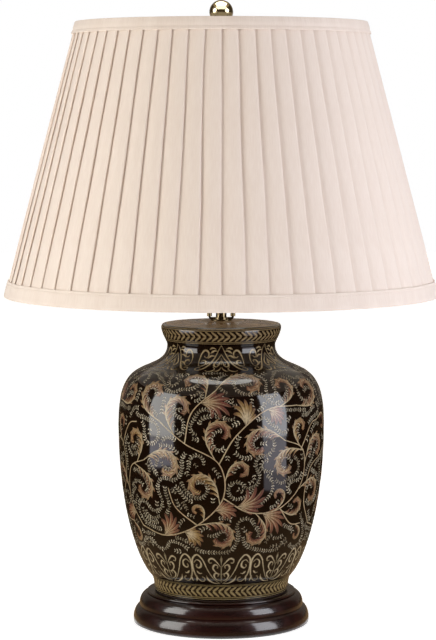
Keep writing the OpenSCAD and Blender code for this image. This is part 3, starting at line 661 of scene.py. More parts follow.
def grow(start, made, name, body, slot, **values):
    """Runs a tree on an object and keeps the result as a plain mesh that rides on a body."""
    modifier = start.modifiers.new("grow", "NODES")
    modifier.node_group = made
    keys = {item.name: item.identifier for item in made.interface.items_tree if item.in_out == "INPUT"}
    for key, value in values.items():
        modifier[keys[key.replace("_", " ")]] = value
    seen = start.evaluated_get(bpy.context.evaluated_depsgraph_get())
    mesh = bpy.data.meshes.new_from_object(seen)
    mesh.name = name
    grown = placed(name, mesh)
    bpy.data.objects.remove(start)
    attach(grown, body)
    print(name, len(mesh.polygons), "faces")
    return grown


# %% Copies about the axis
around, given = tree("around the axis", {"Copies": 60, "Finish": bpy.types.Material})
number = given["Copies"].node("GeometryNodeInputIndex")
turn = number.node("ShaderNodeCombineXYZ", None, {"Z": number * (2 * math.pi) / given["Copies"]})
end_tree(around, copies_of(given["Geometry"], given["Copies"], Rotation=turn), given["Finish"])

# %% Leaves along lines
sizes = {"Leaf": bpy.types.Object, "Step": 0.0024, "Seed": 7, "Finish": bpy.types.Material}
along, given = tree("leaves along lines", sizes)
lines = given["Geometry"].node("GeometryNodeMeshToCurve", None, {"Mesh": given["Geometry"]})
even = lines.node("GeometryNodeResampleCurve", {"mode": "LENGTH"}, {"Curve": lines, "Length": given["Step"]})
tangent = even.node("GeometryNodeInputTangent")
first = even.node("FunctionNodeAlignRotationToVector", {"axis": "X"}, {"Vector": tangent})
upwards = {"Rotation": first, "Vector": even.kept("outwards", "FLOAT_VECTOR")}
upright = first.node("FunctionNodeAlignRotationToVector", {"axis": "Z", "pivot_axis": "X"}, upwards)
leaf_info = even.node("GeometryNodeObjectInfo", None, {"Object": given["Leaf"]}, out="Geometry")
# Sockets 2 and 3 are the least and the most of a random number
some = even.node("FunctionNodeRandomValue", None, {2: 0.65, 3: 1.15, "Seed": given["Seed"]})
put = {"Points": even, "Instance": leaf_info, "Rotation": upright, "Scale": some}
sprays = even.node("GeometryNodeInstanceOnPoints", None, put)
each = even.node("FunctionNodeRandomValue", None, {2: 0.0, 3: 0.6, "Seed": given["Seed"] + 1})
colour = (each + even.kept("light") * 0.4).pick(tint("6c604c"), tint("cfc2a6"))
end_tree(along, store(sprays, "paint", "FLOAT_COLOR", colour), given["Finish"])
print("trees ready")

# %% [markdown]
# ## Scrolling leaves
# The main field carries acanthus scrolls, the oldest leaf ornament there is: long stalks swing to
# and fro, and leaves spring from them and curl over. The layout is this lesson's own. Only the
# stalks are drawn, three times round the jar. Leaves are then tried along them, largest
# first, and a chart of the painted ground tells where one still fits.

# %% A chart of what is painted
class Chart:
    """The jar's surface unrolled into cells, each free or too near to paint."""

    COLUMNS, ROW = 1000, 0.5

    def __init__(self):
        self.cells = np.zeros((int(RULER[-1] / self.ROW) + 1, self.COLUMNS), bool)

    def place(self, turns, ups):
        """Rows and columns of places."""
        rows = np.clip(np.asarray(ups) / self.ROW, 0, len(self.cells) - 1).astype(int)
        return rows, np.floor(np.asarray(turns) / (2 * math.pi) * self.COLUMNS).astype(int) % self.COLUMNS

    def mark(self, laid, size):
        """Takes the ground within a distance of a laid line, in mm."""
        reach = np.arange(-size, size + self.ROW / 2, self.ROW)
        across, upwards = (grid.ravel() for grid in np.meshgrid(reach, reach))
        near = across**2 + upwards**2 <= size**2
        ups = np.atleast_1d(laid[1])[:, None] + upwards[near]
        turns = np.atleast_1d(laid[0])[:, None] + across[near] / np.maximum(girth(ups), 8)
        self.cells[self.place(turns, ups)] = True

    def taken(self, laid):
        """How much of a laid line is on taken ground, from 0 to 1."""
        return self.cells[self.place(*laid)].mean()


# %% Two leaves
# How a curling leaf bends along its spine, (share of its length, degrees)
CURL = [(0, 0), (0.2, 4), (0.42, 46), (0.7, 140), (1, 275)]
SPINE_POINTS, BARB_EVERY, LARGE_LEAF = 44, 2.1, 44

# The colours of a leaf's three kinds of barb, from spine to tip: warm, red and golden leaves
WINE = tint("4c2a27")
WARM = ((TAN, EMBER, PLUM), (STALK, RUST, PLUM), (PALE, TAN, RUST))
RED = ((TAN, tint("6d4034"), PLUM), (EMBER, WINE, PLUM), (PALE, tint("87553f"), WINE))
GOLD = ((PALE, tint("8a6d3f"), RUST), (TAN, tint("6e5230"), PLUM), (PALE, tint("a58a55"), EMBER))


def curls(hand):
    """The bends of a leaf that curls to one hand."""
    return [(share, hand * bend) for share, bend in CURL]


def feather(work, turn, up, size, heading, hand, moods):
    """A leaf that curls over to one hand: barbs sweep in from its spine, small lobes flare outside."""
    spine = curl(size, heading, curls(hand), SPINE_POINTS)
    turns = heading + np.interp(np.linspace(0, 1, SPINE_POINTS), *zip(*curls(hand)))
    laid = lay(spine, turn, up)
    for k, s in enumerate(np.arange(0.1, 0.985, BARB_EVERY / size)):
        i = int(s * (SPINE_POINTS - 1))
        spot = laid[0][i], laid[1][i]
        swell = math.sin(math.pi * min(1, 0.12 + 0.8 * s)) ** 0.8
        long = size * (0.05 + 0.165 * swell) * (1.15 - 0.45 * s) * (1, 0.68, 0.9)[k % 3]
        flow = [(0, 0), (0.5, hand * 26), (1, hand * 84)]
        barb = curl(long, turns[i] + hand * 26, flow, 9)
        work.stroke(lay(barb, *spot), [(0, 0.8), (0.45, 1.3), (0.8, 0.9), (1, 0.2)], moods[k % 3], 0.10)
        work.stroke(lay(barb * 0.8, *spot), [(0, 0.45), (0.6, 0.3), (1, 0.1)], (PALE, TAN, EMBER), 0.13)
        if size > LARGE_LEAF and 0.3 < s < 0.95 and k % 3 == 1:
            flow = [(0, 0), (0.6, hand * 20), (1, -hand * 35)]
            lobe = curl(size * 0.085, turns[i] - hand * 42, flow, 8)
            work.stroke(lay(lobe, *spot), [(0, 1.6), (0.5, 2.0), (1, 0.2)], (STALK, TAN, RUST), 0.09)
    wide = [(0, 0.9), (0.2, 1.2), (0.6, 1.7), (0.9, 1.3), (1, 0.4)]
    work.stroke(laid, wide, (STALK, STALK, TAN, EMBER), 0.15)
    out = np.radians(turns - hand * 90)
    edge = spine + 0.55 * np.column_stack([np.cos(out), np.sin(out)])
    work.stroke(lay(edge, turn, up), [(0, 0.35), (0.5, 0.6), (1, 0.25)], (PALE, PALE, STALK, TAN), 0.18)


# The flames of an opening leaf, (degrees off its middle, share of its length)
FLAMES = [(-62, 0.62), (62, 0.66), (-42, 0.8), (42, 0.86), (-22, 0.94), (22, 0.98), (0, 1.06)]


def flare(work, turn, up, size, heading, hand, moods):
    """A leaf that opens into round-tipped flames, which lean to one hand."""
    shape = [(0, 0.8), (0.35, 2.2), (0.7, 3.6), (0.9, 2.6), (1, 0.5)]
    vein = [(0, 0.3), (0.6, 0.6), (1, 0.2)]
    for k, (off, share) in enumerate(FLAMES):
        long = size * share * (1.08 if off * hand > 0 else 0.92)
        flow = [(0, -off * 0.35), (0.5, off * 0.1 + hand * 6), (1, off * 0.75 + hand * 34)]
        flame = curl(long, heading + off * 0.62, flow, 14)
        laid, above = lay(flame, turn, up), 0.02 * k
        work.stroke(laid, [(a, w * 1.3) for a, w in shape], (PLUM, PLUM), 0.09 + above)
        work.stroke(laid, shape, (STALK, *moods[0][:2], RUST), 0.10 + above)
        work.stroke(lay(flame * 0.9, turn, up), vein, (PALE, PALE, TAN), 0.12 + above)


# %% Stalks, and the leaves that fit along them
FIELD_LOW, FIELD_HIGH, THIRDS = 58, 229, 3
# Points of each stalk, right and up in mm
STALKS = [
    [(-92, 74), (-60, 68), (-24, 80), (2, 106), (-2, 138), (-34, 156), (-62, 176)],
    [(2, 106), (28, 92), (60, 94), (84, 116), (82, 146), (56, 158)],
    [(-2, 138), (14, 164), (44, 186), (80, 188)],
    [(-92, 74), (-104, 98), (-94, 128), (-70, 138)],
    [(-34, 156), (-28, 184), (-6, 206)],
    [(60, 94), (78, 78), (96, 76)],
    [(82, 146), (98, 168), (112, 172)],
    [(-24, 80), (-44, 96), (-50, 114)],
]
# Ground in mm that a stalk or a leaf keeps free of leaves (ROOM) and of vines (EDGE)
STALK_ROOM, STALK_EDGE, LEAF_ROOM, FEATHER_EDGE, FLARE_EDGE = 5, 2.7, 11, 3.8, 5.4
FLARE_SHARE, OVERLAP = 0.45, 0.05
scrolls, leaf_room, vine_room = Paintwork(), Chart(), Chart()
chance = np.random.default_rng(11)
stalks = []
for third in range(THIRDS):
    for points in STALKS:
        flat = way([(x * girth(u) / BELLY_R, u) for x, u in points], 16 * len(points))
        laid = lay(flat, third * (2 * math.pi / THIRDS) + points[0][0] / BELLY_R, points[0][1])
        stalks.append((flat, laid))
        scrolls.stroke(laid, [(0, 1.3), (0.6, 1.2), (1, 0.9)], (STALK, TAN, STALK), 0.16)
        scrolls.stroke(laid, 0.45, (PALE, PALE), 0.19)
        leaf_room.mark(laid, STALK_ROOM)
        vine_room.mark(laid, STALK_EDGE)

# Degrees between a leaf and its stalk, at the stalk's end and along it
END_LEAN, SIDE_LEANS, MOODS = 12, (22, 40), (WARM, RED, WARM, GOLD)
leaves = 0
for kind, sizes in (("end", (72, 62, 52, 42, 34)), ("side", (66, 56, 46)), ("side", (46, 38, 30))):
    for flat, laid in stalks:
        count, places = len(flat), [len(flat) - 2]
        if kind == "side":
            places = chance.permutation(np.arange(int(0.1 * count), int(0.9 * count), 4))
        for i in places:
            spot = laid[0][i], laid[1][i]
            ahead_of = math.degrees(math.atan2(*(flat[i + 1] - flat[i])[::-1]))
            hands = chance.permutation([-1, 1])
            for size, hand, lean in product(sizes, hands, SIDE_LEANS):
                heading = ahead_of + (-hand * END_LEAN if kind == "end" else hand * lean)
                opens = kind == "side" and leaves % 3 == 1
                bends = curls(hand)
                if opens:
                    bends, size = [(0, 0), (1, hand * 40)], size * FLARE_SHARE
                turns, ups = lay(curl(size, heading, bends, 24), *spot)
                free = leaf_room.taken((turns[9:], ups[9:])) <= OVERLAP
                if ups.min() < FIELD_LOW or ups.max() > FIELD_HIGH or not free:
                    continue
                draw = flare if opens else feather
                draw(scrolls, *spot, size, heading, hand, MOODS[leaves % 4])
                leaf_room.mark((turns[4:], ups[4:]), LEAF_ROOM)
                vine_room.mark((turns[3:], ups[3:]), FLARE_EDGE if opens else FEATHER_EDGE)
                leaves += 1
                break
scroll_piece = scrolls.on_lamp("painted_scrolls")
print(leaves, "leaves,", len(scroll_piece.data.polygons), "faces")

# %% [markdown]
# ## Vines
# Between the scrolls the painter filled every gap with running vines: hair-thin stalks with pairs
# of leaves two or three millimetres long. Each vine starts on free ground and swings left and right
# in arcs, and turns aside where the chart, or its own tail, is in the way. Long vines are kept
# first and short ones fill what is left. A tree then sets the leaf pairs along them.

# %% Growing the vines
STEP, VINE_ROOM, TAIL, LONGEST = 1.0, 3.6, 8, 150
FEEL_STEPS, ARC_TURNS, HARD = np.arange(1, 5) * 1.6, (2.0, 4.4), 1.4
CROWN_EDGE = float(RULER[len(wall) - 1])


def run_vine(turn, up, low, high, tight, loose):
    """Follows arcs over free ground from a place, and returns the line."""
    heading, hand = chance.uniform(0, 2 * math.pi), chance.choice((-1, 1))
    left, line, feel = 0.0, [], FEEL_STEPS[0]
    for n in range(LONGEST):
        if left <= 0:
            bend, hand = chance.uniform(tight, loose), -hand
            left = bend * chance.uniform(*ARC_TURNS)
        arc_on, sharp = hand / bend, hand * HARD / tight
        for turning in (arc_on, arc_on / 2, -arc_on, sharp, -sharp):
            way_on = heading + turning * FEEL_STEPS
            ups = up + np.cumsum(np.sin(way_on)) * feel
            turns = turn + np.cumsum(np.cos(way_on)) * feel / girth(up)
            if ups.min() > low and ups.max() < high and not vine_room.taken((turns, ups)):
                break
        else:
            break
        line.append((turn, up))
        heading += turning * STEP
        left -= STEP
        turn, up = turn + STEP * math.cos(heading) / girth(up), up + STEP * math.sin(heading)
        if n > TAIL:
            vine_room.mark(line[n - TAIL], VINE_ROOM)
    return line


# (lowest, highest, tightest and loosest arc, and passes of (tries, shortest line that is kept))
vine_lines = []
for low, high, tight, loose, passes in (
    (FIELD_LOW - 6, FIELD_HIGH + 1, 6.5, 12, ((60, 60), (200, 34), (700, 18), (2500, 9), (6000, 4))),
    (CROWN_EDGE + 3, CROWN_EDGE + 16, 4, 6, ((60, 20), (200, 8))),
):
    for tries, least in passes:
        for n in range(tries):
            turn, up = chance.uniform(-math.pi, math.pi), chance.uniform(low, high)
            if vine_room.taken((turn, up)):
                continue
            before = vine_room.cells.copy()
            line = run_vine(turn, up, low, high, tight, loose)
            if len(line) < least:
                vine_room.cells = before
                continue
            laid = tuple(np.array(line).T)
            vine_room.mark(laid, VINE_ROOM)
            vine_lines.append(laid)
    free = 1 - vine_room.cells[int(low / Chart.ROW) : int(high / Chart.ROW)].mean()
    print(len(vine_lines), "vines, free ground", round(float(free), 2))
length = sum(len(laid[0]) for laid in vine_lines) * STEP / 1000
print(round(length, 2), "m of vines")

# %% A pair of leaves, and the vines
LEAF_L, LEAF_W, LEAF_OPEN, LEAF_STEP = 3.1, 1.12, math.radians(52), 0.0024
leaf = [(0.2, 0, 0), (1.3, LEAF_W / 2, 0), (LEAF_L, 0, 0), (1.3, -LEAF_W / 2, 0), (1.4, 0, 0.05)]
pair_points, pair_faces = [], []
for side in (-1, 1):
    c, s = math.cos(side * LEAF_OPEN), math.sin(side * LEAF_OPEN)
    for x, y, z in leaf:
        pair_points.append(((x * c - y * s) * MM, (x * s + y * c) * MM, z * MM))
    first = len(leaf) * (side > 0)
    pair_faces += [(first + a, first + b, first + 4) for a, b in ((1, 0), (2, 1), (3, 2), (0, 3))]
pair = plain_mesh("leaf_pair", pair_points, pair_faces)
vine_points = [on_jar(*laid, 0.07) for laid in vine_lines]
ends = np.cumsum([len(line) for line in vine_points])
vine_edges = [(i, i + 1) for i in range(ends[-1] - 1) if i + 1 not in ends]
ground = bpy.data.meshes.new("vine_lines")
ground.from_pydata(np.vstack(vine_points).tolist(), vine_edges, [])
keep(ground, "outwards", np.vstack([faces_on_jar(*laid) for laid in vine_lines]), "FLOAT_VECTOR", "vector")
keep(ground, "light", np.concatenate([np.full(len(line), chance.random()) for line in vine_points]))
start = placed("vine_lines", ground)
grow(start, along, "painted_vines", "lamp", "glaze", Leaf=pair, Step=LEAF_STEP, Finish=enamel)
bpy.data.objects.remove(pair)
HAIR_W = 0.35
hairs = Paintwork()
for laid in vine_lines:
    hairs.stroke(laid, HAIR_W, (KHAKI, KHAKI), 0.06)
hairs.on_lamp("painted_stalks")

# %% [markdown]
# ## Borders
# A band of chevrons runs round the foot and another round the lip, each between two lines, and a
# border of scrollwork stands on the one and hangs from the other. One repeat of each is painted,
# and the first tree carries it round the jar.


# %% Chevrons between two lines
ROUND = np.linspace(0, 2 * math.pi, 181)


def lines_round(name, lines, proud):
    """Painted lines round the jar, each (way up, width, colour)."""
    work = Paintwork()
    for up, wide, colour in lines:
        work.stroke((ROUND, np.full(len(ROUND), up)), wide, (colour, colour), proud)
    work.on_lamp(name)


def carry_round(work, name, copies):
    """Repeats what is painted evenly round the jar."""
    grow(work.done(name), around, name, "lamp", "glaze", Copies=copies, Finish=enamel)


def chevron_band(name, low, high, copies, hand, dim, light):
    """A band of chevrons that point to one hand, as one painted piece, and its lines."""
    middle, reach = (low + high) / 2, (high - low) / 2 - 0.9
    pitch = 2 * math.pi / copies
    one = Paintwork()
    for side in (-1, 1):
        ups = middle + side * np.linspace(0.1, reach, 6)
        turns = hand * (0.42 - np.linspace(0, 1.05, 6)) * pitch
        one.stroke((turns, ups), [(0, 2.2), (0.4, 2.5), (0.85, 1.9), (1, 0.5)], (dim, dim), 0.08)
        one.stroke((turns, ups), [(0, 0.8), (0.5, 0.9), (1, 0.3)], (light, light), 0.11)
    carry_round(one, name, copies)
    rims = [(low, 1.1, dim), (high, 1.1, dim), (low - 1.6, 0.5, light), (high + 1.6, 0.5, light)]
    lines_round(name + "_lines", rims, 0.09)


chevron_band("foot_chevrons", 3.0, 14.8, 76, -1, tint("74623f"), tint("94815b"))
chevron_band("lip_chevrons", up_to(238.0), up_to(248.6), 63, 1, tint("6c593c"), tint("957d58"))


# %% A border of scrollwork
def scrollwork(name, up, copies, way_up, dim, light, plain, leafy):
    """One repeat of scrollwork, right and up in mm, and its mirror image, carried round.

    It stands up from its line or hangs down (1 or -1); leafy lines come with their width.
    """
    one = Paintwork()
    lines = [(points, None) for points in plain] + leafy
    for points, wide in lines:
        for side in (-1, 1):
            flat = way([(side * x, way_up * y) for x, y in points], 5 * len(points))
            laid = lay(np.vstack([[0, 0], flat]), 0, up)
            laid = laid[0][1:], laid[1][1:]
            swell, tip = (wide or 1.9) * 1.2, 0.3 if wide else 1.1
            tips = [(0, 0.7), (0.3, 1.3), (0.62, swell), (0.85, 1.2), (1, tip)]
            one.stroke(laid, tips, (dim, dim), 0.10)
            one.stroke(laid, [(s, w * 0.45) for s, w in tips], (dim, light, light, dim), 0.14)
    carry_round(one, name, copies)


scrollwork(
    "foot_scrollwork",
    up=18.2,
    copies=9,
    way_up=1,
    dim=KHAKI,
    light=CREAM,
    plain=[
        [(1, 0.5), (7, 7), (12, 17), (15.5, 27), (20.5, 32.5), (25.2, 28.5), (26.2, 20), (24.6, 10)]
        + [(20.6, 3.5), (17.2, 4.2), (17, 7.6), (19.2, 8.6)],
        [(25.6, 24), (22.5, 27.2), (19.2, 25.2), (18.8, 20.8), (21.4, 18.6), (23.4, 20.4), (22.4, 22.6)],
        [(0.6, 4), (4.4, 6), (6.4, 10.2), (4.6, 13.4), (2.2, 11.8), (3, 9.4)],
        [(0.6, 12), (4.6, 14), (7.4, 18.6), (5.8, 22.4), (3, 21.2), (3.4, 18.4)],
        [(0.6, 20), (3.6, 24.6), (7.6, 28.8), (11.2, 27.8), (11, 24.4), (8.6, 24.6)],
    ],
    leafy=[
        ([(0, 2), (0, 12), (0, 22)], 1.2),
        ([(0, 22), (0, 27), (0, 32)], 2.6),
        ([(2, 0.8), (7, 1.6), (11.5, 5.5), (13, 10.5)], 2.2),
        ([(17.6, 13), (20, 12.4), (22.6, 15.4)], 1.8),
        ([(26, 3), (26.6, 6), (27.4, 10)], 1.6),
    ],
)
scrollwork(
    "neck_scrollwork",
    up=up_to(238.0) - 2.6,
    copies=7,
    way_up=-1,
    dim=tint("6b5a3f"),
    light=tint("a08b66"),
    plain=[
        [(0, 0.5), (3.2, 7), (6.6, 14), (11, 21.5), (16, 27.8), (20.6, 30)]
        + [(22.6, 27.4), (20.4, 24.8), (17.8, 26)],
        [(0, 9), (2.4, 13), (5.4, 17.5), (6.2, 21.4), (4, 23.4), (2.2, 21.4), (3.4, 19.4)],
        [(21.6, 22.6), (22.6, 16), (21.4, 9), (18.2, 5.6), (15, 7.2), (14.8, 11), (17, 12.6), (18.8, 10.8)],
        [(21.6, 22.6), (18.2, 22.2), (15.4, 19.2), (16.2, 16), (19, 15.6), (19.4, 17.8)],
        [(7.6, 23.4), (6, 26.8), (8, 30.4), (12, 31.6), (14.6, 29.6)],
        [(0.4, 24), (1.8, 28), (4.6, 31), (6.4, 30)],
        [(4.4, 4.4), (7.6, 3.2), (10.6, 4.6)],
    ],
    leafy=[
        ([(2.8, 6.2), (6.6, 6), (10.2, 8.6)], 1.9),
        ([(5.2, 11), (9, 10.6), (12.4, 13.4)], 1.9),
        ([(0, 13), (0, 17), (0, 21)], 2.0),
        ([(0, 15), (1.8, 18.6), (2.2, 22)], 1.4),
        ([(9.6, 19), (12.4, 18.2), (14, 20.8)], 1.6),
    ],
)

# %% [markdown]
# ## The crown
# The disc inside the lip gets a mottled brown wash a few hundredths of a millimetre thick, with a
# softer shine than the glaze. Its lighter, warmer brown is partly painted reflection: it stands in for
# the shade's lit underside, which the glaze shows there at a grazing angle. Petals stand round the saddle.

# %% The wash on the crown, partly painted reflection
WASH_UP, WASH_T = 0.03, 0.02
# (way in from the lip in mm, width, colour)
CROWN_LINES = ((1.6, 1.3, KHAKI), (1.5, 0.6, CREAM), (17.4, 0.9, TAN), (31.5, 1.4, TAN))
PETALS, PETAL_FOOT = 26, 31
# Strokes of a petal: (off its middle in petals, length, width, height over the glaze, colours)
PETAL = [
    (0, 12.5, 4.2, 0.10, (RUST, EMBER)),
    (0, 11.5, 2.6, 0.12, (TAN, PALE)),
    (0.5, 5, 1.4, 0.12, (KHAKI, CREAM)),
]
wash_and_reflection, shader, place = finish("crown_wash_and_reflection", "977b5c", 0.38, Specular_IOR_Level=0.3)
brushed = place.noise(70, 4, stretch=(0.5, 1.6, 1))
# Partly painted reflection: the brown is lighter and warmer than the wash alone, for the shade's underside
# seen in the glaze
wash_and_reflection_colour = brushed.between(0.3, 0.7).pick(tint("7b6144"), tint("bd9b72"))
feed(shader, Base_Color=wash_and_reflection_colour, Roughness=brushed * 0.25 + 0.25)
top = crown[:-1] + (0, JAR_Z + WASH_UP)
disc = turned("painted_crown", np.vstack([top, top[::-1] - (0, WASH_T)]), 120, "lamp", wash_and_reflection)
lines_round("crown_rings", [(CROWN_EDGE + off, wide, colour) for off, wide, colour in CROWN_LINES], 0.12)
petal = Paintwork()
for off, long, wide, proud, colours in PETAL:
    ups = CROWN_EDGE + PETAL_FOOT - np.linspace(0, long, 8)
    turns = np.full(len(ups), off * 2 * math.pi / PETALS)
    petal.stroke((turns, ups), [(0, 0.5), (0.6, wide), (1, 0.3)], colours, proud)
carry_round(petal, "crown_petals", PETALS)

# %% [markdown]
# ## The pleated cover
# The cover is one long strip of fine cotton, ironed into sixty knife pleats and stretched over the
# lining. Every pleat uses the same width of cloth, so where the shade narrows more of it is tucked
# under the next fold. One pleat is drawn as a folded strip: the panel that shows, the fold, and the
# cloth that runs back underneath. A tree sets sixty of them round the cone, lets them wander a
# little as ironed cloth does, and joins them into one cloth.

# %% Cloth
SHADE_Z, SHADE_H, LOW_R, HIGH_R = 309.1, 254, 203.0, 135.7
PLEATS, BINDING_T, PLEAT_DEPTH, CLOTH_T, CLEAR = 60, 1.0, 1.5, 0.3, 0.12
EDGE = BINDING_T + CLEAR
# FOLD_SHADE_REACH is how far across the cloth, in metres, the painted shade beside each fold reaches
THREADS, FOLD_SHADE_REACH = 2 * math.pi / 0.0007, 0.0075


def over_r(z):
    """Radius over the bindings at a height above the shade's lower edge."""
    return LOW_R + (HIGH_R - LOW_R) * z / SHADE_H


def weave(across, up):
    """Fine threads both ways, as a height from 0 to 1."""
    warp = across.math("SINE") * 0.5 + 0.5
    weft = up.math("SINE") * 0.5 + 0.5
    return warp.math("MAXIMUM", weft)


def cloth(name, light, dark, fold_shade):
    """Woven cloth; its piece says how far along and across it each point is, and painted shade lies beside
    each fold, where weft is near 0.
    """
    soft = {"Specular_IOR_Level": 0.2, "Sheen_Weight": 0.25, "Sheen_Roughness": 0.5}
    made, shader, place = finish(name, light, 0.88, **soft)
    weft = place.node("ShaderNodeAttribute", {"attribute_name": "weft"}, out="Fac")
    warp = place.node("ShaderNodeAttribute", {"attribute_name": "warp"}, out="Fac")
    flat = weft.node("ShaderNodeCombineXYZ", None, {"X": weft, "Y": warp})
    slub = flat.noise(90, 3, stretch=(14, 1, 1))
    mottle = flat.noise(22, 2, stretch=(3, 1, 1))
    shade = (slub * 0.55 + mottle * 0.45).between(0.35, 0.68)
    height = weave(weft * THREADS, warp * THREADS) * 0.5 + slub * 0.5
    # Painted shade: for a few millimetres beside each fold the cloth is darkened towards b49c86, where the
    # fold casts its shadow
    valley = 1 - weft.between(0.0, FOLD_SHADE_REACH)
    colour = (valley * fold_shade).pick(shade.pick(tint(dark), tint(light)), tint("b49c86"))
    feed(shader, Base_Color=colour, Normal=relief(height, 0.00012, 0.6))
    return made


# The pleats get a 0.1 share of painted shade beside their folds; the bindings get none
pleat_cloth = cloth("pleat_cloth", "f0dfd0", "ebd8c8", 0.1)
binding_cloth = cloth("binding_cloth", "f0dfd0", "e9d6c6", 0.0)

# %% One pleat
# The panel that shows, then its fold, (share of the pitch, depth in mm)
PANEL = [(0.0, 1.48), (0.06, 1.44), (0.12, 1.3), (0.2, 0.96), (0.3, 0.6), (0.42, 0.34)]
PANEL += [(0.58, 0.15), (0.76, 0.04), (0.9, 0.0), (0.955, 0.04), (0.985, 0.2), (1.0, 0.5)]
PANEL += [(1.0, 0.8), (0.985, 1.02), (0.95, 1.1)]
# Under it the cloth runs back and comes ahead again, (share of the tuck, depth in mm)
TUCKED = [(0.5, 1.16), (0.9, 1.22), (1, 1.32), (1, 1.5), (0.85, 1.62), (0.5, 1.6), (0.2, 1.55), (0, 1.48)]
LOW_TUCK, ROWS = 0.30, 22
pitch_low, pitch_high = (2 * math.pi * over_r(z) / PLEATS for z in (EDGE, SHADE_H - EDGE))
cloth_each = pitch_low * (1 + 2 * LOW_TUCK)
slant_h = math.hypot(SHADE_H - 2 * EDGE, over_r(0) - over_r(SHADE_H))
KEPT = ("across", "lift", "rise", "weft", "warp")
strip_points, strip_rows = [], []
for row in range(ROWS):
    rise = row / (ROWS - 1)
    pitch = pitch_low + (pitch_high - pitch_low) * rise
    tuck = (cloth_each / pitch - 1) / 2
    line = PANEL + [(1 - tuck * share, depth) for share, depth in TUCKED]
    gone = np.concatenate([[0], np.cumsum(np.abs(np.diff([t for t, _ in line])))]) * pitch
    for (t, depth), g in zip(line, gone):
        strip_points.append((t, rise, depth))
        strip_rows.append((t, -depth * MM, rise, g * MM, rise * slant_h * MM))
pleat = plain_mesh("pleat", strip_points, quads(ROWS, len(line), ring=False))
for key, values in zip(KEPT, np.transpose(strip_rows)):
    keep(pleat.data, key, values)
print("cloth for one pleat", round(cloth_each, 1), "mm, tucked at the top", round(tuck, 2))

# %% Sixty pleats round the cone
# The noise that moves the pleats is read on a wall of this radius and height; its puff is in metres
WALL_R, WALL_H, PUFF, JOIN = 7, 1.6, 0.0004, 0.00002
sizes = {"Pleats": PLEATS, "Low radius": 0.2, "High radius": 0.13, "Low": 0.3, "High": 0.5}
sizes |= {"Wander": 0.1, "Swell": 0.001, "Finish": bpy.types.Material}
folded, given = tree("pleats round a cone", sizes)
strips = copies_of(given["Geometry"], given["Pleats"])
numbered = store(strips, "pleat", "FLOAT", strips.node("GeometryNodeInputIndex"))
real = numbered.node("GeometryNodeRealizeInstances", None, {"Geometry": numbered})
rise, lift = real.kept("rise"), real.kept("lift")
turn = (real.kept("pleat") + real.kept("across")) * (2 * math.pi) / given["Pleats"]
spot = {"X": turn.math("SINE") * WALL_R, "Y": turn.math("COSINE") * WALL_R, "Z": rise * WALL_H}
spot = turn.node("ShaderNodeCombineXYZ", None, spot)
sway = spot.noise(1.0, 1.0) - 0.5
puff = spot.noise(2.3, 1.0) - 0.5
turn = turn + sway * given["Wander"] * (2 * math.pi) / given["Pleats"]
swell = (rise * (1 - rise) * 4).math("MAXIMUM", 0.0).math("POWER", 0.4)
lift = lift * (puff * 0.8 + 1) * (swell * 0.35 + 1) + swell * given["Swell"] + puff * PUFF
radius = given["Low radius"] + (given["High radius"] - given["Low radius"]) * rise + lift
height = given["Low"] + (given["High"] - given["Low"]) * rise
place = {"X": turn.math("SINE") * radius, "Y": turn.math("COSINE") * radius * -1, "Z": height}
place = turn.node("ShaderNodeCombineXYZ", None, place)
set_out = real.node("GeometryNodeSetPosition", None, {"Geometry": real, "Position": place})
joined = set_out.node("GeometryNodeMergeByDistance", None, {"Geometry": set_out, "Distance": JOIN})
end_tree(folded, joined, given["Finish"])
cover = grow(
    pleat,
    folded,
    "pleated_cloth",
    "shade",
    "pleat_cloth",
    Pleats=PLEATS,
    Low_radius=(over_r(EDGE) - EDGE) * MM,
    High_radius=(over_r(SHADE_H - EDGE) - EDGE) * MM,
    Low=(SHADE_Z + EDGE) * MM,
    High=(SHADE_Z + SHADE_H - EDGE) * MM,
    Wander=0.24,
    Swell=0.0004,
    Finish=pleat_cloth,
)
tidy(cover)
thick = cover.modifiers.new("cloth", "SOLIDIFY")
thick.thickness, thick.offset = CLOTH_T * MM, -1
cover.data.set_sharp_from_angle(angle=math.radians(50))
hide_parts("pleated_cover")
FLAT = (PLEATS * cloth_each * MM, slant_h * MM)
print("flat cloth", [round(x, 3) for x in FLAT], "m")

# %% [markdown]
# ## Bindings
# Each edge of the shade is bound with a folded tape of the same cloth. It wraps the wire ring and
# is sewn through close to the fold that lies on the pleats, which leaves a fine line of stitches.


# %% Tapes and their stitches
def rounded(loop, size, steps):
    """A closed outline with its corners rounded off."""
    loop = np.asarray(loop, float)
    line = []
    for a, b, c in zip(np.roll(loop, 1, 0), loop, np.roll(loop, -1, 0)):
        near = [b + (p - b) * min(size / np.linalg.norm(p - b), 0.45) for p in (a, c)]
        for t in np.linspace(0, 1, steps):
            line.append((1 - t) ** 2 * near[0] + 2 * t * (1 - t) * b + t * t * near[1])
    return np.array(line)


def along_cloth(made):
    """Distances round and up a turned piece, for the weave."""
    points = np.empty(len(made.data.vertices) * 3)
    made.data.vertices.foreach_get("co", points)
    x, y, z = points.reshape(-1, 3).T
    keep(made.data, "weft", np.arctan2(x, -y) * np.hypot(x, y).mean())
    keep(made.data, "warp", z)


slant = math.atan((LOW_R - HIGH_R) / SHADE_H)
WIRE_R, LINING_T, BACK_T, FOLD_SHARE = 1.5, 0.6, 0.5, 0.93


def hem_r(z):
    """Where a tape lies inside its wire."""
    folds = (over_r(z) - EDGE - PLEAT_DEPTH - BACK_T) * math.cos(math.radians(180 * FOLD_SHARE / PLEATS))
    return folds - CLEAR - LINING_T - WIRE_R / math.cos(slant) - CLEAR - WIRE_R - CLEAR


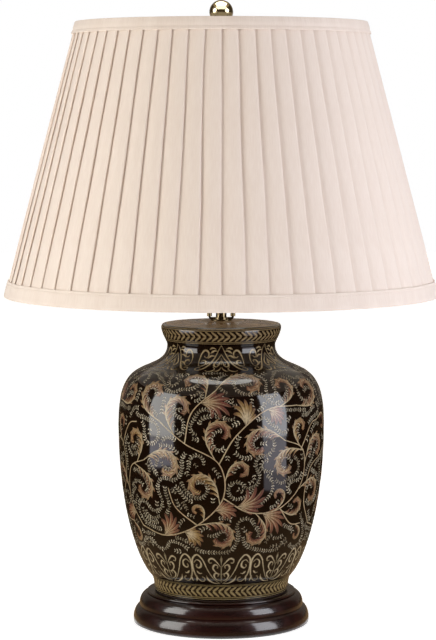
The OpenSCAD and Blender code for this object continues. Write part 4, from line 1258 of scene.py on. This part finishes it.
HEM_H, FOLD_H = EDGE + 2 * WIRE_R + 2, 2.9
top_low, top, low_high = SHADE_H - 11.5, SHADE_H, 15
fold = top_low + FOLD_H
top_hem, low_hem = hem_r(SHADE_H - EDGE - WIRE_R), hem_r(EDGE + WIRE_R)
top_loop = [
    (over_r(top_low) - 0.1, top_low),
    (over_r(top_low) + 0.28, top_low + 0.5),
    (over_r(fold) + 0.28, fold - 0.2),
    (over_r(fold) - 0.12, fold + 0.15),
    (over_r(top - 5) + 0.3, top - 5),
    (over_r(top) - 0.1, top),
    (top_hem - 1, top),
    (top_hem - 1, top - HEM_H),
    (top_hem, top - HEM_H),
    (top_hem, top - 1),
    (over_r(top - 1) - 1, top - 1),
    (over_r(top_low) - 1, top_low),
]
low_loop = [
    (low_hem - 1, 0),
    (over_r(0) - 0.1, 0),
    (over_r(3) + 0.28, 3),
    (over_r(8) + 0.32, 8),
    (over_r(low_high - 2.2) + 0.2, low_high - 2.2),
    (over_r(low_high - 1.9) - 0.05, low_high - 1.9),
    (over_r(low_high - 1.6) + 0.2, low_high - 1.6),
    (over_r(low_high) + 0.1, low_high),
    (over_r(low_high) - 1, low_high),
    (over_r(1) - 1, 1),
    (low_hem, 1),
    (low_hem, HEM_H),
    (low_hem - 1, HEM_H),
]
for name, loop in (("top_binding", top_loop), ("bottom_binding", low_loop)):
    outline = rounded(loop, 0.45, 4) + (0, SHADE_Z)
    tape = turned(name + "_tape", outline, 300, "shade", binding_cloth, crease=60)
    along_cloth(tape)
    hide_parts(name)
    print(tape.name, len(tape.data.polygons), "faces")

STITCH_L, STITCH_R, STITCH_SIDES, STITCH_PITCH, STITCH_OUT = 2.6, 0.22, 6, 3.6, 0.27
# A stitch is thick in the middle and dips into the cloth: (place along it, thickness, dip) as shares
SECTIONS = [(-0.5, 0.02, 0.3), (-0.42, 0.75, 0), (0, 1, 0), (0.42, 0.75, 0), (0.5, 0.02, 0.3)]
for name, z in (("top_stitches", fold - 0.75), ("bottom_stitches", low_high - 3.2)):
    radius, points = over_r(z) + STITCH_OUT, []
    for x, thick, dip in SECTIONS:
        for a in (2 * math.pi * j / STITCH_SIDES for j in range(STITCH_SIDES)):
            out = STITCH_R * (thick * math.sin(a) - dip)
            points.append((x * STITCH_L, -(radius + out), z + SHADE_Z + STITCH_R * thick * math.cos(a)))
    ends = [range(STITCH_SIDES), range(len(points) - 1, len(points) - 1 - STITCH_SIDES, -1)]
    faces = quads(len(SECTIONS), STITCH_SIDES) + ends
    stitch = tidy(plain_mesh(name, np.array(points) * MM, faces))
    copies = int(2 * math.pi * radius / STITCH_PITCH)
    grow(stitch, around, name, "shade", "binding_cloth", Copies=copies, Finish=binding_cloth)

# %% [markdown]
# ## Lacquered mahogany
# The plinth is turned from red-brown hardwood and finished with a dark clear lacquer. The grain runs
# across the turning, so it shows as long streaks on the top and short flecks on the mouldings. A
# coat over the wood carries the sharp highlights, while the wood under it stays soft.

# %% The plinth's finish
lacquer = {"Coat_Weight": 1.0, "Coat_Roughness": 0.14, "Specular_IOR_Level": 0.12}
mahogany, shader, place = finish("mahogany", "1d0605", 0.42, **lacquer)
streaks = place.noise(55, 5, stretch=(0.12, 1.6, 1.6))
pores = place.noise(520, 3, stretch=(0.06, 1.3, 1.3)).between(0.56, 0.7)
wood = streaks.between(0.3, 0.7).pick(tint("110202"), tint("260603"))
feed(
    shader,
    Base_Color=(pores * 0.55).pick(wood, tint("090101")),
    Roughness=streaks * 0.2 + 0.3,
    Normal=relief(pores * -0.4 + streaks * 0.3, 0.00012, 0.35),
)

# %% [markdown]
# ## Aged brass, steel and the small parts
# The harp, its saddle, the lampholder and the finial are brass that has been darkened and then
# rubbed bright where a hand would touch it. Two sizes of noise do this: cloudy brown patches that
# are also duller, and fine scratches. The other fittings are zinc plated, moulded or pressed.

# %% Metals
def aged(name, colours, rough, patches, share, dulls, scratches, depth, strength):
    """Brass with cloudy patches, (size of noise, low, high), that are darker and duller."""
    base, clean, dark = colours
    size, low, high = patches
    made, shader, place = finish(name, base, rough, Metallic=1.0)
    cloudy = place.noise(size, 4).between(low, high)
    fine = place.noise(900, 2, stretch=(1, 1, 0.12))
    feed(
        shader,
        Base_Color=(cloudy * share).pick(tint(clean), tint(dark)),
        Roughness=cloudy * dulls + fine * scratches + scratches,
        Normal=relief(fine, depth, strength),
    )
    return made


brass = aged(
    "antique_brass",
    colours=("665a45", "74664d", "352b1e"),
    rough=0.25,
    patches=(95, 0.42, 0.66),
    share=0.75,
    dulls=0.22,
    scratches=0.12,
    depth=0.00004,
    strength=0.35,
)
rubbed = aged(
    "rubbed_brass",
    colours=("d4c59f", "dccfab", "857049"),
    rough=0.14,
    patches=(240, 0.5, 0.72),
    share=0.5,
    dulls=0.14,
    scratches=0.08,
    depth=0.00003,
    strength=0.3,
)
steel, shader, place = finish("zinc_steel", "a9abad", 0.35, Metallic=1.0)
spangle = place.noise(260, 3)
feed(
    shader,
    Base_Color=spangle.pick(tint("8e9092"), tint("bcbdbe")),
    Roughness=spangle * 0.25 + 0.22,
    Normal=relief(spangle, 0.00003, 0.3),
)


# %% Moulded, pressed and soft finishes
def grained(name, dark, light, rough, scale, depth, **fixed):
    """A finish whose colour and relief come from one grain."""
    made, shader, place = finish(name, light, rough, **fixed)
    grain = place.noise(scale, 4)
    feed(
        shader,
        Base_Color=grain.between(0.3, 0.7).pick(tint(dark), tint(light)),
        Roughness=grain * 0.2 + (rough - 0.1),
        Normal=relief(grain, depth, 0.5),
    )
    return made


clear = {"Transmission_Weight": 0.12, "IOR": 1.45}
FINISHES = {
    "mahogany": mahogany,
    "antique_brass": brass,
    "steel": steel,
    "felt": grained("baize", "20281f", "323c2e", 0.95, 1400, 0.0003, Sheen_Weight=0.3),
    "bushing_black": grained("black_bushing", "141312", "211f1e", 0.5, 1800, 0.00004),
    "cork": grained("gasket", "2c1f17", "46342a", 0.85, 900, 0.0002),
    "fibre": grained("pressed_fibre", "6e5c46", "8d7a60", 0.8, 700, 0.0001),
    "porcelain": grained("dark_porcelain", "3a3633", "4b4642", 0.3, 160, 0.00004),
    "knob_black": grained("black_knob", "131211", "1e1c1b", 0.28, 2400, 0.00002, Coat_Weight=0.3),
    "bulb_glass": grained("frosted_glass", "f0eee8", "f8f6f1", 0.42, 500, 0.00002, **clear),
    "lining": grained("lining_laminate", "f4ece0", "faf4ea", 0.6, 240, 0.00006),
    "glaze": glaze,
    "pleat_cloth": pleat_cloth,
    "binding_cloth": binding_cloth,
}
for row in frame["record"]["subparts"]:
    node = frame["nodes"][row["node"]]
    made = rubbed if row["node"] == "ball_finial" else FINISHES[row["material_slot"]]
    for slot in node.material_slots:
        slot.material = made

# %% [markdown]
# ## Sizes
# The solids' box and the box of what was made are printed, axis by axis. What was made has to stay
# inside the solids' box, apart from cloth that may stand a little proud.

# %% Sizes and the end
seen_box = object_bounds()
for axis, a, b, c, d in zip("xyz", cad_box[0], cad_box[1], seen_box[0], seen_box[1]):
    print(axis, "solids", round(b - a, 4), "dressed", round(d - c, 4))
